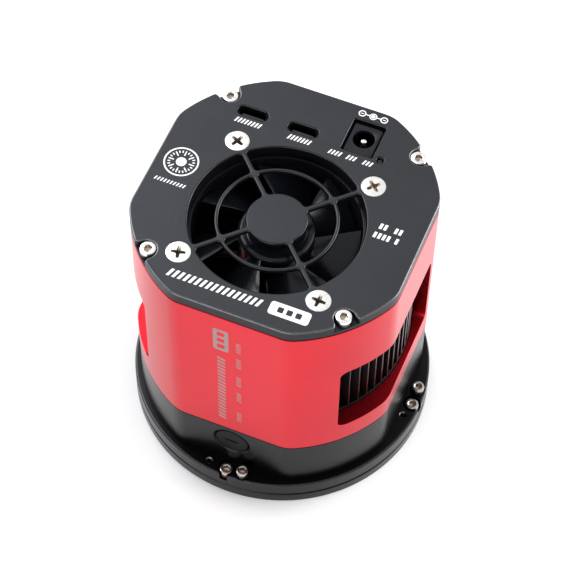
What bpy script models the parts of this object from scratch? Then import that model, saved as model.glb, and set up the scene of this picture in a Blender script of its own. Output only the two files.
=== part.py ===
"""Cooled astronomy camera with a tilt plate, a sealed sensor chamber, a Peltier cooler and a fan.

Millimetre values are turned into metres by MM. The camera stands on its telescope flange: Z = 0 is the face
that meets the telescope, +Z runs to the fan side, and the desiccant plug faces -Y.
"""

import math

import bmesh
import bpy
from mathutils import Matrix, Vector

MM = 0.001
GAP = 0.3                   # air left between pieces that touch in the real camera
LOOSE = 0.15                # radial room round a screw's shank

# Outside shape
HEIGHT = 90.0
FLANGE_R = 45.0
BODY_FLAT = 39.6            # half width across the flats
BODY_ROUND = 43.0           # radius of the rounded corners
BODY_FILLET = 10.0          # blend between a flat and a corner
EDGE = 0.35                 # chamfer on turned edges
FLAT_ANGLES = (-90, 0, 90, 180)
CORNER_ANGLES = (-135, -45, 45, 135)

# Levels, from the telescope upwards
TILT_PLATE_TOP = 4.0
FLANGE_BOTTOM = 4.5
FLANGE_TOP = 9.4
SENSOR_PLANE = 17.5
BODY_TOP = 27.9
SPIGOT_TOP = 30.8
SHELL_BOTTOM = BODY_TOP + GAP
SINK_BOTTOM = SPIGOT_TOP + GAP
SINK_BASE_TOP = 36.0
FIN_TOP = 66.5
FAN_BOTTOM = 70.9
BOARD_BOTTOM = 74.0
BOARD_TOP = 75.6
SHELL_TOP = 86.0
COVER_BOTTOM = SHELL_TOP + GAP
FAN_TOP = COVER_BOTTOM - GAP

# Telescope side
THREAD_R = 26.6             # M54 x 0.75 female thread
SEAL_GROOVE = (31.0, 34.0)
WINDOW_SEAT_R = 27.0
WINDOW_SHELF = 8.6
WINDOW_R = 26.0
LIGHT_PATH_R = 23.0
CHAMBER_FLOOR = 10.6
CHAMBER_R = 31.0
RING_GROOVE = (31.8, 33.6)
SPIGOT_R = 37.6
BOSS_OUT = 27.0             # posts in the chamber that carry the sensor board
BOSS_R = 2.2
BOSS_TOP = 20.0

# Tilt adjustment: one pull screw and one push screw at the middle of each flat
PULL_OUT = 42.5
PULL_ASIDE = -0.5
PUSH_OUT = 42.4
PUSH_ASIDE = 4.6
PULL_HEAD_R = 2.1
PULL_POCKET_R = 2.75
PULL_POCKET_FLOOR = 6.6
PULL_TOP = 9.5
PULL_END = 0.8
PUSH_END = 4.7
PUSH_TOP = 11.6
PUSH_R = 1.95

# Desiccant plug, turned about a line along -Y
PLUG_HEIGHT = 20.9
PLUG_HEAD_R = 5.1
PLUG_STEM_R = 4.1
PLUG_POCKET_R = 5.4
PLUG_HOLE_R = 4.4
PLUG_FACE = BODY_FLAT - 0.15
PLUG_NECK = 38.0
PLUG_END = 31.5

# Sensor and cooler
PACKAGE_HALF = (16.0, 12.5)
DIE_HALF = (12.2, 8.4)
GLASS_HALF = (15.0, 11.5)
SENSOR_BOARD_R = 30.4
SENSOR_BOARD = (20.3, 21.9)
TONGUE_HALF = (9.5, 6.5)
COLD_BLOCK_HALF = 19.0
COLD_BLOCK = (22.2, 24.2)
COLD_PLATE_HALF = 15.0
HOT_PLATE_HALF = 20.0
RIBBON_HALF = 6.0
RIBBON_Y = 29.6

# Shell, heat sink and their fasteners
BORE_R = 38.2
WINDOW_LOW = 35.8
WINDOW_HIGH = 64.8
WINDOW_NEAR = -31.2         # the air windows stop short of the sockets' side
WINDOW_FAR = 13.9
SINK_R = 37.9
FIN_COUNT = 22
FIN_PITCH = 2.7
FIN_THICK = 0.8
CORNER_SCREW_OUT = 40.4
SINK_SCREW = (14.0, 32.7)

# M2.5 socket cap screws
M25_R = 1.25
HEAD_R = 2.25
HEAD_HIGH = 2.3
HEAD_HOLE_R = 2.5
SHELL_HEAD_SEAT = 7.2        # roof of the pockets in the flange that take the long screws

# Top cover
NOTCH_CENTRE_OUT = 41.1
NOTCH_R = 3.0
NOTCH_FLARE = 2.2
NOTCH_FLOOR = 87.5
USB_PLACES = (("usb_c_port_device", -20.2, 25.2), ("usb_c_port_main", -4.9, 25.2))
USB_SLOT = (4.6, 1.75)      # half length and end radius
JACK_PLACE = (11.8, 29.1)
JACK_HALF = (4.5, 5.5)
JACK_SOCKET_SHIFT = 0.4
LIGHT_PLACE = (18.9, 23.6)

# Fan
FAN_Y = -6.0
FAN_HALF = 24.8
FAN_BORE_R = 23.8
FAN_SCREW = 20.5            # half of the spacing between fan screws
GUARD_OPENING_R = 24.6
GUARD_RING = (16.2, 17.3)
GUARD_HUB_R = 8.6
GUARD_BAR_HALF = 0.75
GUARD_BAR_BOTTOM = 88.5
ROTOR_HUB_R = 11.0
ROTOR_TIP_R = 23.2
ROTOR_BOTTOM = 74.0
ROTOR_TOP = 85.0
BLADES = 7
BLADE_START = 11.0          # degrees from +X to the first blade's upper edge at the hub
BLADE_SWEEP = 12.0          # degrees that edge leans forward from hub to tip
BLADE_SPAN = (44.0, 5.0)    # degrees covered at the hub, and how much less at the tip
BLADE_DROP = 9.0
BLADE_THICK = 0.9
SHAFT_R = 1.0
STRUT_ANGLE = 20.0

# Facets
ROUND_STEPS = 40            # largest turned faces; a multiple of four keeps the outside exact
RING_STEPS = 28
SCREW_STEPS = 10
HOLE_STEPS = 8

NAME = "cooled_astronomy_camera"


# ---------------------------------------------------------------- outlines, in millimetres

def arc(cx, cy, radius, start, end, steps):
    """Points along an arc from start to end degrees, both ends included."""
    points = []
    for i in range(steps + 1):
        angle = math.radians(start + (end - start) * i / steps)
        points.append((cx + radius * math.cos(angle), cy + radius * math.sin(angle)))
    return points


def circle(cx, cy, radius, steps):
    return arc(cx, cy, radius, 0, 360, steps)[:-1]


def turn(points, degrees, cx=0.0, cy=0.0):
    """The same outline turned about the origin and then moved to (cx, cy)."""
    c = math.cos(math.radians(degrees))
    s = math.sin(math.radians(degrees))
    return [(cx + c * x - s * y, cy + s * x + c * y) for x, y in points]


def body_outline(steps=6):
    """A square with corners on one large circle, every flat blending into the corner arcs."""
    inner_flat = BODY_FLAT - BODY_FILLET
    inner_round = BODY_ROUND - BODY_FILLET
    rise = math.sqrt(inner_round ** 2 - inner_flat ** 2)
    blend = math.degrees(math.atan2(rise, inner_flat))
    quarter = arc(inner_flat, rise, BODY_FILLET, 0, blend, 3)[:-1]
    quarter += arc(0, 0, BODY_ROUND, blend, 90 - blend, steps)
    quarter += arc(rise, inner_flat, BODY_FILLET, 90 - blend, 90, 3)[1:]
    points = []
    for angle in (0, 90, 180, 270):
        points += turn(quarter, angle)
    return points


def rounded_box(cx, cy, half_x, half_y, radius, steps=3):
    points = []
    for sx, sy, start in ((1, 1, 0), (-1, 1, 90), (-1, -1, 180), (1, -1, 270)):
        x = cx + sx * (half_x - radius)
        y = cy + sy * (half_y - radius)
        points += arc(x, y, radius, start, start + 90, steps)
    return points


def box_outline(cx, cy, half_x, half_y):
    return [(cx - half_x, cy - half_y), (cx + half_x, cy - half_y),
            (cx + half_x, cy + half_y), (cx - half_x, cy + half_y)]


def slot_outline(cx, cy, half_length, radius, steps=6):
    """A slot along X with round ends."""
    reach = half_length - radius
    right = arc(cx + reach, cy, radius, -90, 90, steps)
    left = arc(cx - reach, cy, radius, 90, 270, steps)
    return right + left


def guard_window(inner, outer, fillet, steps):
    """One opening of the fan guard, between two spokes that stand at -45 and 45 degrees."""
    side = GUARD_BAR_HALF + fillet
    outer_angle = 45 - math.degrees(math.asin(side / (outer - fillet)))
    inner_angle = 45 - math.degrees(math.asin(side / (inner + fillet)))
    ox = (outer - fillet) * math.cos(math.radians(outer_angle))
    oy = (outer - fillet) * math.sin(math.radians(outer_angle))
    ix = (inner + fillet) * math.cos(math.radians(inner_angle))
    iy = (inner + fillet) * math.sin(math.radians(inner_angle))
    points = arc(0, 0, outer, -outer_angle, outer_angle, steps)
    points += arc(ox, oy, fillet, outer_angle, 135, 2)[1:]
    points += arc(ix, iy, fillet, 135, 180 + inner_angle, 2)
    points += arc(0, 0, inner, inner_angle, -inner_angle, steps)[1:-1]
    points += arc(ix, -iy, fillet, 180 - inner_angle, 225, 2)
    points += arc(ox, -oy, fillet, 225, 360 - outer_angle, 2)[:-1]
    return points


def notch_outline():
    """Pocket for a corner screw, open to the rim, for the corner at 0 degrees."""
    flare_y = NOTCH_R + NOTCH_FLARE
    beyond = BODY_ROUND + 3
    points = [(beyond, -flare_y)]
    points += arc(NOTCH_CENTRE_OUT, -flare_y, NOTCH_FLARE, 0, 90, 3)
    points += arc(NOTCH_CENTRE_OUT, 0, NOTCH_R, 270, 90, 8)[1:-1]
    points += arc(NOTCH_CENTRE_OUT, flare_y, NOTCH_FLARE, 270, 360, 3)
    points.append((beyond, flare_y))
    return points


def cross_outline(half_length, tip_half, root_half):
    """A plus sign whose arms taper from root to tip, for a cross recess."""
    arm = [(half_length, -tip_half), (half_length, tip_half), (root_half, root_half)]
    return arm + turn(arm, 90) + turn(arm, 180) + turn(arm, 270)


# ---------------------------------------------------------------- making solids

ALONG_X = Matrix(((0, 0, 1, 0), (1, 0, 0, 0), (0, 1, 0, 0), (0, 0, 0, 1)))
TOWARDS_FRONT = Matrix.Rotation(math.radians(90), 4, "X")


def clear_scene():
    for item in list(bpy.data.objects):
        bpy.data.objects.remove(item, do_unlink=True)


def new_collection(name):
    group = bpy.data.collections.new(name)
    bpy.context.scene.collection.children.link(group)
    return group


def material(name, colour, roughness, metallic):
    made = bpy.data.materials.new(name)
    made.use_nodes = True
    shader = made.node_tree.nodes["Principled BSDF"]
    shader.inputs["Base Color"].default_value = (*colour, 1.0)
    shader.inputs["Roughness"].default_value = roughness
    shader.inputs["Metallic"].default_value = metallic
    return made


def place(name, mesh, matrix=None):
    item = bpy.data.objects.new(name, mesh)
    item.matrix_world = matrix or Matrix()
    PARTS.objects.link(item)
    return item


def evaluated_mesh(item):
    """A welded copy of an object's mesh with its modifiers applied and its faces pointing out."""
    bpy.context.view_layer.update()
    depsgraph = bpy.context.evaluated_depsgraph_get()
    mesh = bpy.data.meshes.new_from_object(item.evaluated_get(depsgraph))
    work = bmesh.new()
    work.from_mesh(mesh)
    bmesh.ops.remove_doubles(work, verts=work.verts, dist=1e-6)
    bmesh.ops.recalc_face_normals(work, faces=work.faces)
    work.to_mesh(mesh)
    work.free()
    return mesh


def plate(name, outlines, low, high, matrix=None):
    """Flat piece from closed outlines, the rim first and then its holes, between two heights."""
    curve = bpy.data.curves.new(name, "CURVE")
    curve.dimensions = "2D"
    curve.fill_mode = "BOTH"
    curve.extrude = (high - low) / 2 * MM
    for outline in outlines:
        spline = curve.splines.new("POLY")
        spline.points.add(len(outline) - 1)
        for point, (x, y) in zip(spline.points, outline):
            point.co = (x * MM, y * MM, 0, 1)
        spline.use_cyclic_u = True
    source = place(name + "_outline", curve)
    mesh = evaluated_mesh(source)
    mesh.transform(Matrix.Translation((0, 0, (low + high) / 2 * MM)))
    bpy.data.objects.remove(source)
    return place(name, mesh, matrix)


def turned(name, profile, steps, closed=False, matrix=None):
    """Piece turned about its own Z axis. The profile runs down its outer side, top to bottom."""
    mesh = bpy.data.meshes.new(name)
    count = len(profile)
    edges = [(i, i + 1) for i in range(count - 1)]
    if closed:
        edges.append((count - 1, 0))
    mesh.from_pydata([(r * MM, 0, z * MM) for r, z in profile], edges, [])
    item = place(name, mesh, matrix)
    screw = item.modifiers.new("turn", "SCREW")
    screw.axis = "Z"
    screw.steps = steps
    screw.render_steps = steps
    screw.use_merge_vertices = True
    screw.merge_threshold = 1e-6
    return item


def cylinder(name, cx, cy, radius, low, high, steps):
    bpy.ops.mesh.primitive_cylinder_add(
        vertices=steps, radius=radius * MM, depth=(high - low) * MM,
        location=(cx * MM, cy * MM, (low + high) / 2 * MM))
    item = bpy.context.object
    item.name = name
    for group in list(item.users_collection):
        group.objects.unlink(item)
    PARTS.objects.link(item)
    return item


def block(name, low, high):
    """Box from its lowest to its highest corner."""
    return plate(name, [box_outline((low[0] + high[0]) / 2, (low[1] + high[1]) / 2,
                                    (high[0] - low[0]) / 2, (high[1] - low[1]) / 2)], low[2], high[2])


def square_block(name, half, low, high, cx=0.0, cy=0.0):
    return plate(name, [box_outline(cx, cy, half, half)], low, high)


def combine(target, other, operation):
    """Adds a Boolean and files the other object with the cutters."""
    modifier = target.modifiers.new(other.name, "BOOLEAN")
    modifier.operation = operation
    modifier.solver = "EXACT"
    modifier.object = other
    other.hide_render = True
    other.display_type = "WIRE"
    PARTS.objects.unlink(other)
    CUTTERS.objects.link(other)


def cut(target, *others):
    for other in others:
        combine(target, other, "DIFFERENCE")


def join(target, *others):
    for other in others:
        combine(target, other, "UNION")


def finish(item, look, sharp_degrees=30):
    """Applies an object's modifiers, shades it and gives it its material."""
    mesh = evaluated_mesh(item)
    item.modifiers.clear()
    item.data = mesh
    mesh.name = item.name
    mesh.materials.clear()
    mesh.materials.append(look)
    mesh.shade_smooth()
    mesh.set_sharp_from_angle(angle=math.radians(sharp_degrees))
    return item


def copies(source, names_and_matrices):
    """Places the finished source once for each name, all sharing its mesh, and removes the source."""
    for name, matrix in names_and_matrices:
        place(name, source.data, matrix)
    bpy.data.objects.remove(source)


def at(x, y, z=0.0, degrees=0.0):
    return Matrix.Translation(Vector((x, y, z)) * MM) @ Matrix.Rotation(math.radians(degrees), 4, "Z")


def around(angle, out, aside):
    """Point at a distance out along an angle and aside to its left, as (x, y)."""
    return turn([(out, aside)], angle)[0]


# ---------------------------------------------------------------- fasteners

def cap_screw(name, head_r, head_height, length, shank_r=M25_R, steps=SCREW_STEPS):
    """Socket cap screw with its seat at Z = 0."""
    profile = [(0, head_height), (head_r - 0.25, head_height), (head_r, head_height - 0.25), (head_r, 0),
               (shank_r, 0), (shank_r, -length), (0, -length)]
    screw = turned(name, profile, steps)
    hexagon = circle(0, 0, shank_r * 0.95, 6)
    cut(screw, plate(name + "_socket", [hexagon], head_height - 1.2, head_height + 1))
    return finish(screw, LOOKS["steel"])


def countersunk_screw(name):
    """Cross-recess screw, its head's top at Z = 0."""
    head_r = 3.55
    shank_r = 1.75
    cone = head_r - shank_r
    profile = [(0, 0), (head_r, 0), (head_r, -0.3), (shank_r, -0.3 - cone), (shank_r, -12.0), (0, -12.0)]
    screw = turned(name, profile, SCREW_STEPS)
    cut(screw, plate(name + "_recess", [cross_outline(1.8, 0.4, 0.5)], -1.6, 1))
    return finish(screw, LOOKS["steel"])


def make_fasteners():
    seat = HEIGHT - HEAD_HIGH
    cover = cap_screw("cover_screw", HEAD_R, HEAD_HIGH, 8.5)
    corners = [around(angle, CORNER_SCREW_OUT, 0) for angle in CORNER_ANGLES]
    copies(cover, [(f"cover_screw_{i}", at(x, y, seat)) for i, (x, y) in enumerate(corners, 1)])

    shell = cap_screw("shell_screw", HEAD_R, HEAD_HIGH, 25.5)
    flip = Matrix.Rotation(math.pi, 4, "X")
    copies(shell, [(f"shell_screw_{i}", at(x, y, SHELL_HEAD_SEAT - 0.2) @ flip)
                   for i, (x, y) in enumerate(corners, 1)])

    sink = cap_screw("heat_sink_screw", HEAD_R, HEAD_HIGH, 13.5)
    sx, sy = SINK_SCREW
    copies(sink, [("heat_sink_screw_1", at(-sx, -sy, SINK_BASE_TOP + GAP)),
                  ("heat_sink_screw_2", at(sx, -sy, SINK_BASE_TOP + GAP))])

    fan = countersunk_screw("fan_screw")
    centres = [(x * FAN_SCREW, FAN_Y + y * FAN_SCREW) for x, y in ((-1, -1), (1, -1), (1, 1), (-1, 1))]
    copies(fan, [(f"fan_screw_{i}", at(x, y, HEIGHT - 0.1)) for i, (x, y) in enumerate(centres, 1)])

    pull_seat = PULL_POCKET_FLOOR + GAP
    pull = cap_screw("tilt_pull_screw", PULL_HEAD_R, PULL_TOP - pull_seat, pull_seat - PULL_END)
    places = [around(angle, PULL_OUT, PULL_ASIDE) for angle in FLAT_ANGLES]
    copies(pull, [(f"tilt_pull_screw_{i}", at(x, y, pull_seat))
                  for i, (x, y) in enumerate(places, 1)])

    profile = [(0, PUSH_TOP), (PUSH_R - 0.3, PUSH_TOP), (PUSH_R, PUSH_TOP - 0.3), (PUSH_R, PUSH_END + 0.7),
               (PUSH_R - 0.75, PUSH_END), (0, PUSH_END)]
    push = turned("tilt_push_screw", profile, SCREW_STEPS)
    cut(push, plate("tilt_push_socket", [circle(0, 0, 1.25, 6)], PUSH_TOP - 2.2, PUSH_TOP + 1))
    finish(push, LOOKS["steel"])
    places = [around(angle, PUSH_OUT, PUSH_ASIDE) for angle in FLAT_ANGLES]
    copies(push, [(f"tilt_push_screw_{i}", at(x, y)) for i, (x, y) in enumerate(places, 1)])


# ---------------------------------------------------------------- telescope side

def plug_frame():
    """Turns a piece drawn along +Z to lie along the plug's line, towards -Y."""
    return at(0, 0, PLUG_HEIGHT) @ TOWARDS_FRONT


def make_tilt_plate():
    r = FLANGE_R
    bore = THREAD_R
    top = TILT_PLATE_TOP
    profile = [(bore + EDGE, top), (r - EDGE, top), (r, top - EDGE), (r, EDGE), (r - EDGE, 0),
               (bore + EDGE, 0), (bore, EDGE), (bore, top - EDGE)]
    body = turned("tilt_plate", profile, ROUND_STEPS, closed=True)
    for angle in FLAT_ANGLES:
        x, y = around(angle, PULL_OUT, PULL_ASIDE)
        cut(body, cylinder("tilt_plate_hole", x, y, M25_R + LOOSE, -1, TILT_PLATE_TOP + 1, HOLE_STEPS))
    finish(body, LOOKS["black"])


def make_light_seal():
    low = TILT_PLATE_TOP + GAP
    inner, outer = SEAL_GROOVE
    profile = [(inner + GAP, 5.7), (outer - GAP, 5.7), (outer - GAP, low), (inner + GAP, low)]
    finish(turned("tilt_light_seal", profile, RING_STEPS, closed=True), LOOKS["foam"])


def make_front_body():
    groove_in, groove_out = RING_GROOVE
    seal_in, seal_out = SEAL_GROOVE
    ring_floor = SPIGOT_TOP - 1.4
    seal_roof = FLANGE_BOTTOM + 1.5
    profile = [
        (CHAMBER_R, SPIGOT_TOP), (groove_in, SPIGOT_TOP), (groove_in, ring_floor), (groove_out, ring_floor),
        (groove_out, SPIGOT_TOP), (SPIGOT_R, SPIGOT_TOP), (SPIGOT_R, FLANGE_TOP),
        (FLANGE_R - EDGE, FLANGE_TOP), (FLANGE_R, FLANGE_TOP - EDGE),
        (FLANGE_R, FLANGE_BOTTOM + 0.2), (FLANGE_R - 0.2, FLANGE_BOTTOM),
        (seal_out, FLANGE_BOTTOM), (seal_out, seal_roof), (seal_in, seal_roof), (seal_in, FLANGE_BOTTOM),
        (WINDOW_SEAT_R, FLANGE_BOTTOM), (WINDOW_SEAT_R, WINDOW_SHELF), (LIGHT_PATH_R, WINDOW_SHELF),
        (LIGHT_PATH_R, CHAMBER_FLOOR), (CHAMBER_R, CHAMBER_FLOOR)]
    body = turned("front_body", profile, ROUND_STEPS, closed=True)
    join(body, plate("front_body_walls", [body_outline(), circle(0, 0, 35, ROUND_STEPS)],
                     FLANGE_TOP - 0.4, BODY_TOP))
    for angle in CORNER_ANGLES:
        x, y = around(angle, BOSS_OUT, 0)
        join(body, cylinder("board_boss", x, y, BOSS_R, CHAMBER_FLOOR - 0.5, BOSS_TOP, HOLE_STEPS))
        x, y = around(angle, CORNER_SCREW_OUT, 0)
        cut(body, cylinder("shell_screw_head_hole", x, y, HEAD_HOLE_R, 3, SHELL_HEAD_SEAT, SCREW_STEPS))
        cut(body, cylinder("shell_screw_hole", x, y, M25_R + LOOSE, 6, BODY_TOP + 2, HOLE_STEPS))
    for angle in FLAT_ANGLES:
        x, y = around(angle, PULL_OUT, PULL_ASIDE)
        cut(body, cylinder("pull_pocket", x, y, PULL_POCKET_R, PULL_POCKET_FLOOR, 12, 16))
        cut(body, cylinder("pull_hole", x, y, M25_R + LOOSE, 3, PULL_POCKET_FLOOR + 1, HOLE_STEPS))
        x, y = around(angle, PUSH_OUT, PUSH_ASIDE)
        cut(body, cylinder("push_hole", x, y, PUSH_R + 0.1, 3, 12, SCREW_STEPS))
    for x in (-SINK_SCREW[0], SINK_SCREW[0]):
        for y in (-SINK_SCREW[1], SINK_SCREW[1]):
            cut(body, cylinder("sink_screw_hole", x, y, M25_R + LOOSE, 22, SPIGOT_TOP + 2, HOLE_STEPS))
    hole = [(0, 42), (PLUG_POCKET_R, 42), (PLUG_POCKET_R, PLUG_NECK - GAP), (PLUG_HOLE_R, PLUG_NECK - GAP),
            (PLUG_HOLE_R, 29.5), (0, 29.5)]
    cut(body, turned("plug_hole", hole, 20, matrix=plug_frame()))
    finish(body, LOOKS["black"])


def ring_of(name, radius, thickness, height, look, steps=32, sides=6, matrix=None):
    """O-ring of round section."""
    profile = [(radius + thickness * math.cos(a), height - thickness * math.sin(a))
               for a in (math.tau * i / sides for i in range(sides))]
    return finish(turned(name, profile, steps, closed=True, matrix=matrix), look)


def make_window():
    retainer = [(23.9, 5.7), (26.7, 5.7), (26.7, 4.8), (23.6, 4.8)]
    finish(turned("window_retainer", retainer, RING_STEPS, closed=True), LOOKS["black"])
    glass = [(0, 7.6), (WINDOW_R - 0.2, 7.6), (WINDOW_R, 7.4), (WINDOW_R, 6.0), (0, 6.0)]
    finish(turned("protect_window", glass, RING_STEPS), LOOKS["glass"])
    ring_of("window_seal", 24.9, 0.34, 8.1, LOOKS["rubber"])
    groove_middle = sum(RING_GROOVE) / 2
    ring_of("chamber_seal", groove_middle, 0.6, SPIGOT_TOP - 0.55, LOOKS["rubber"])


def make_desiccant():
    matrix = plug_frame()
    cup_r = 3.1
    groove_r = PLUG_STEM_R - 0.4
    profile = [(0, PLUG_FACE), (PLUG_HEAD_R - 0.3, PLUG_FACE), (PLUG_HEAD_R, PLUG_FACE - 0.3),
               (PLUG_HEAD_R, PLUG_NECK), (PLUG_STEM_R, PLUG_NECK), (PLUG_STEM_R, 36.4), (groove_r, 36.4),
               (groove_r, 35.4), (PLUG_STEM_R, 35.4), (PLUG_STEM_R, PLUG_END), (cup_r, PLUG_END),
               (cup_r, 37.4), (0, 37.4)]
    plug = turned("desiccant_plug", profile, 20, matrix=matrix)
    slot = plate("plug_slot", [box_outline(0, 0, 3.2, 0.5)], PLUG_FACE - 0.8, PLUG_FACE + 1, matrix)
    cut(plug, slot)
    finish(plug, LOOKS["black"])
    ring_of("desiccant_seal", 4.05, 0.28, 35.9, LOOKS["rubber"], 20, 6, matrix)
    tablet = [(0, 37.1), (2.6, 37.1), (2.8, 36.9), (2.8, 32.0), (2.6, 31.8), (0, 31.8)]
    finish(turned("desiccant_tablet", tablet, SCREW_STEPS, matrix=matrix), LOOKS["desiccant"])


# ---------------------------------------------------------------- sensor and cooler

def make_sensor():
    package = plate("image_sensor", [rounded_box(0, 0, *PACKAGE_HALF, 0.8, 2)], 17.0, SENSOR_BOARD[0] - GAP)
    cut(package, block("sensor_cavity", (-13.5, -9.6, 16), (13.5, 9.6, 18.6)))
    finish(package, LOOKS["ceramic"])
    die = plate("sensor_die", [box_outline(0, 0, *DIE_HALF)], SENSOR_PLANE, SENSOR_PLANE + 0.8)
    finish(die, LOOKS["silicon"])
    glass = plate("sensor_cover_glass", [rounded_box(0, 0, *GLASS_HALF, 0.6, 2)], 16.0, 16.7)
    finish(glass, LOOKS["glass"])
    window = box_outline(0, 0, TONGUE_HALF[0] + 0.5, TONGUE_HALF[1] + 0.5)
    board = plate("sensor_board", [circle(0, 0, SENSOR_BOARD_R, RING_STEPS), window], *SENSOR_BOARD)
    finish(board, LOOKS["board"])


def make_cooler():
    finger = square_block("cold_finger", COLD_BLOCK_HALF, *COLD_BLOCK)
    tongue = plate("tongue", [box_outline(0, 0, *TONGUE_HALF)], SENSOR_BOARD[0], COLD_BLOCK[0] + 1)
    join(finger, tongue)
    finish(finger, LOOKS["copper"])
    peltier = square_block("peltier_cooler", COLD_PLATE_HALF, 24.5, 25.3)
    join(peltier, square_block("peltier_middle", HOT_PLATE_HALF, 27.3, 28.1))
    join(peltier, square_block("peltier_hot", HOT_PLATE_HALF, 30.0, SPIGOT_TOP))
    for i in (-1.5, -0.5, 0.5, 1.5):
        for j in (-1.5, -0.5, 0.5, 1.5):
            join(peltier, square_block("pellet_cold", 1.0, 25.0, 27.5, 8 * i, 8 * j))
            join(peltier, square_block("pellet_hot", 1.5, 27.9, 30.2, 11 * i, 11 * j))
    finish(peltier, LOOKS["ceramic"])
    middle = HOT_PLATE_HALF + 0.5
    ring = [circle(0, 0, CHAMBER_R - 0.4, RING_STEPS), box_outline(0, 0, middle, middle)]
    foam = plate("insulation", ring, 22.9, SPIGOT_TOP - 0.1)
    cut(foam, block("ribbon_notch", (-RIBBON_HALF - 0.6, RIBBON_Y - 0.7, 22), (RIBBON_HALF + 0.6, 32, 32)))
    finish(foam, LOOKS["foam"])


def make_heat_sink():
    sx, sy = SINK_SCREW
    holes = [circle(x, y, M25_R + LOOSE, HOLE_STEPS) for x in (-sx, sx) for y in (-sy, sy)]
    ribbon_slot = box_outline(0, RIBBON_Y, RIBBON_HALF + 0.6, 0.45)
    disc = [circle(0, 0, SINK_R, ROUND_STEPS), ribbon_slot, *holes]
    base = plate("heat_sink", disc, SINK_BOTTOM, SINK_BASE_TOP)
    fins = bmesh.new()
    height = FIN_TOP - SINK_BASE_TOP + 1
    for i in range(FIN_COUNT):
        y = (i - (FIN_COUNT - 1) / 2) * FIN_PITCH
        reach = math.sqrt(SINK_R ** 2 - (abs(y) + FIN_THICK / 2) ** 2) - 0.1
        size = Matrix.Diagonal((2 * reach * MM, FIN_THICK * MM, height * MM, 1))
        centre = Matrix.Translation(Vector((0, y, FIN_TOP - height / 2)) * MM)
        bmesh.ops.create_cube(fins, size=1.0, matrix=centre @ size)
    mesh = bpy.data.meshes.new("fins")
    fins.to_mesh(mesh)
    fins.free()
    join(base, place("fins", mesh))
    finish(base, LOOKS["black_sink"])


def make_shell():
    shell = plate("main_shell", [body_outline(), circle(0, 0, BORE_R, ROUND_STEPS)], SHELL_BOTTOM, SHELL_TOP)
    middle = (WINDOW_LOW + WINDOW_HIGH) / 2
    half_height = (WINDOW_HIGH - WINDOW_LOW) / 2
    across = (WINDOW_NEAR + WINDOW_FAR) / 2
    half_width = (WINDOW_FAR - WINDOW_NEAR) / 2
    for side, low, high in (("right", 18, 50), ("left", -50, -18)):
        outline = rounded_box(across, middle, half_width, half_height, 3.0, 4)
        cut(shell, plate("vent_window_" + side, [outline], low, high, ALONG_X))
    for angle in CORNER_ANGLES:
        x, y = around(angle, CORNER_SCREW_OUT, 0)
        cut(shell, cylinder("lower_screw_hole", x, y, M25_R + LOOSE, 26, 33.5, HOLE_STEPS))
        cut(shell, cylinder("upper_screw_hole", x, y, M25_R + LOOSE, 78, 88, HOLE_STEPS))
    finish(shell, LOOKS["red"])


# ---------------------------------------------------------------- fan side

def make_cover():
    holes = []
    for angle in (0, 90, 180, 270):
        outer = guard_window(GUARD_RING[1], GUARD_OPENING_R, 1.0, 7)
        inner = guard_window(GUARD_HUB_R, GUARD_RING[0], 1.0, 5)
        holes += [turn(outer, angle, 0, FAN_Y), turn(inner, angle, 0, FAN_Y)]
    holes.append(rounded_box(*JACK_PLACE, JACK_HALF[0] + 0.25, JACK_HALF[1] + 0.25, 0.8, 2))
    holes.append(circle(*LIGHT_PLACE, 0.95, HOLE_STEPS))
    cover = plate("top_cover", [body_outline(), *holes], COVER_BOTTOM, HEIGHT)
    cut(cover, cylinder("guard_relief", 0, FAN_Y, GUARD_OPENING_R + 0.3, 80, GUARD_BAR_BOTTOM, ROUND_STEPS))
    for _, x, y in USB_PLACES:
        cut(cover, plate("usb_slot", [slot_outline(x, y, *USB_SLOT)], 80, HEIGHT + 2))
    for angle in CORNER_ANGLES:
        cut(cover, plate("notch", [turn(notch_outline(), angle)], NOTCH_FLOOR, HEIGHT + 2))
        x, y = around(angle, CORNER_SCREW_OUT, 0)
        cut(cover, cylinder("cover_screw_hole", x, y, M25_R + LOOSE, 84, 89, HOLE_STEPS))
    sink = [(0, HEIGHT + 0.5), (3.75, HEIGHT + 0.5), (3.75, HEIGHT - 0.5), (1.95, HEIGHT - 2.3), (1.95, 84),
            (0, 84)]
    for x in (-FAN_SCREW, FAN_SCREW):
        for y in (FAN_Y - FAN_SCREW, FAN_Y + FAN_SCREW):
            cut(cover, turned("countersink", sink, 16, matrix=at(x, y)))
    finish(cover, LOOKS["dark"])


def make_fan_frame():
    outline = rounded_box(0, FAN_Y, FAN_HALF, FAN_HALF, 4.3, 4)
    sides = (-FAN_SCREW, FAN_SCREW)
    holes = [circle(x, FAN_Y + y, 2.1, SCREW_STEPS) for x in sides for y in sides]
    bore = circle(0, FAN_Y, FAN_BORE_R, ROUND_STEPS)
    frame = plate("fan_frame", [outline, bore, *holes], FAN_BOTTOM, FAN_TOP)
    floor = FAN_BOTTOM + 1.1
    hub = [(2.35, 82.0), (3.1, 82.0), (3.1, floor), (10.4, floor), (10.4, FAN_BOTTOM), (0, FAN_BOTTOM),
           (0, floor), (2.35, floor)]
    join(frame, turned("fan_hub", hub, 24, closed=True, matrix=at(0, FAN_Y)))
    for quarter in range(4):
        angle = STRUT_ANGLE + 90 * quarter
        strut = turn(box_outline(16.9, 0, 7.5, 1.1), angle, 0, FAN_Y)
        join(frame, plate("fan_strut", [strut], FAN_BOTTOM, floor - 0.05))
    notch = turn(box_outline(26, 0, 4, 1.0), 180 + STRUT_ANGLE, 0, FAN_Y)
    cut(frame, plate("lead_notch", [notch], floor + 0.02, 73.5))
    finish(frame, LOOKS["fan"])


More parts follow.
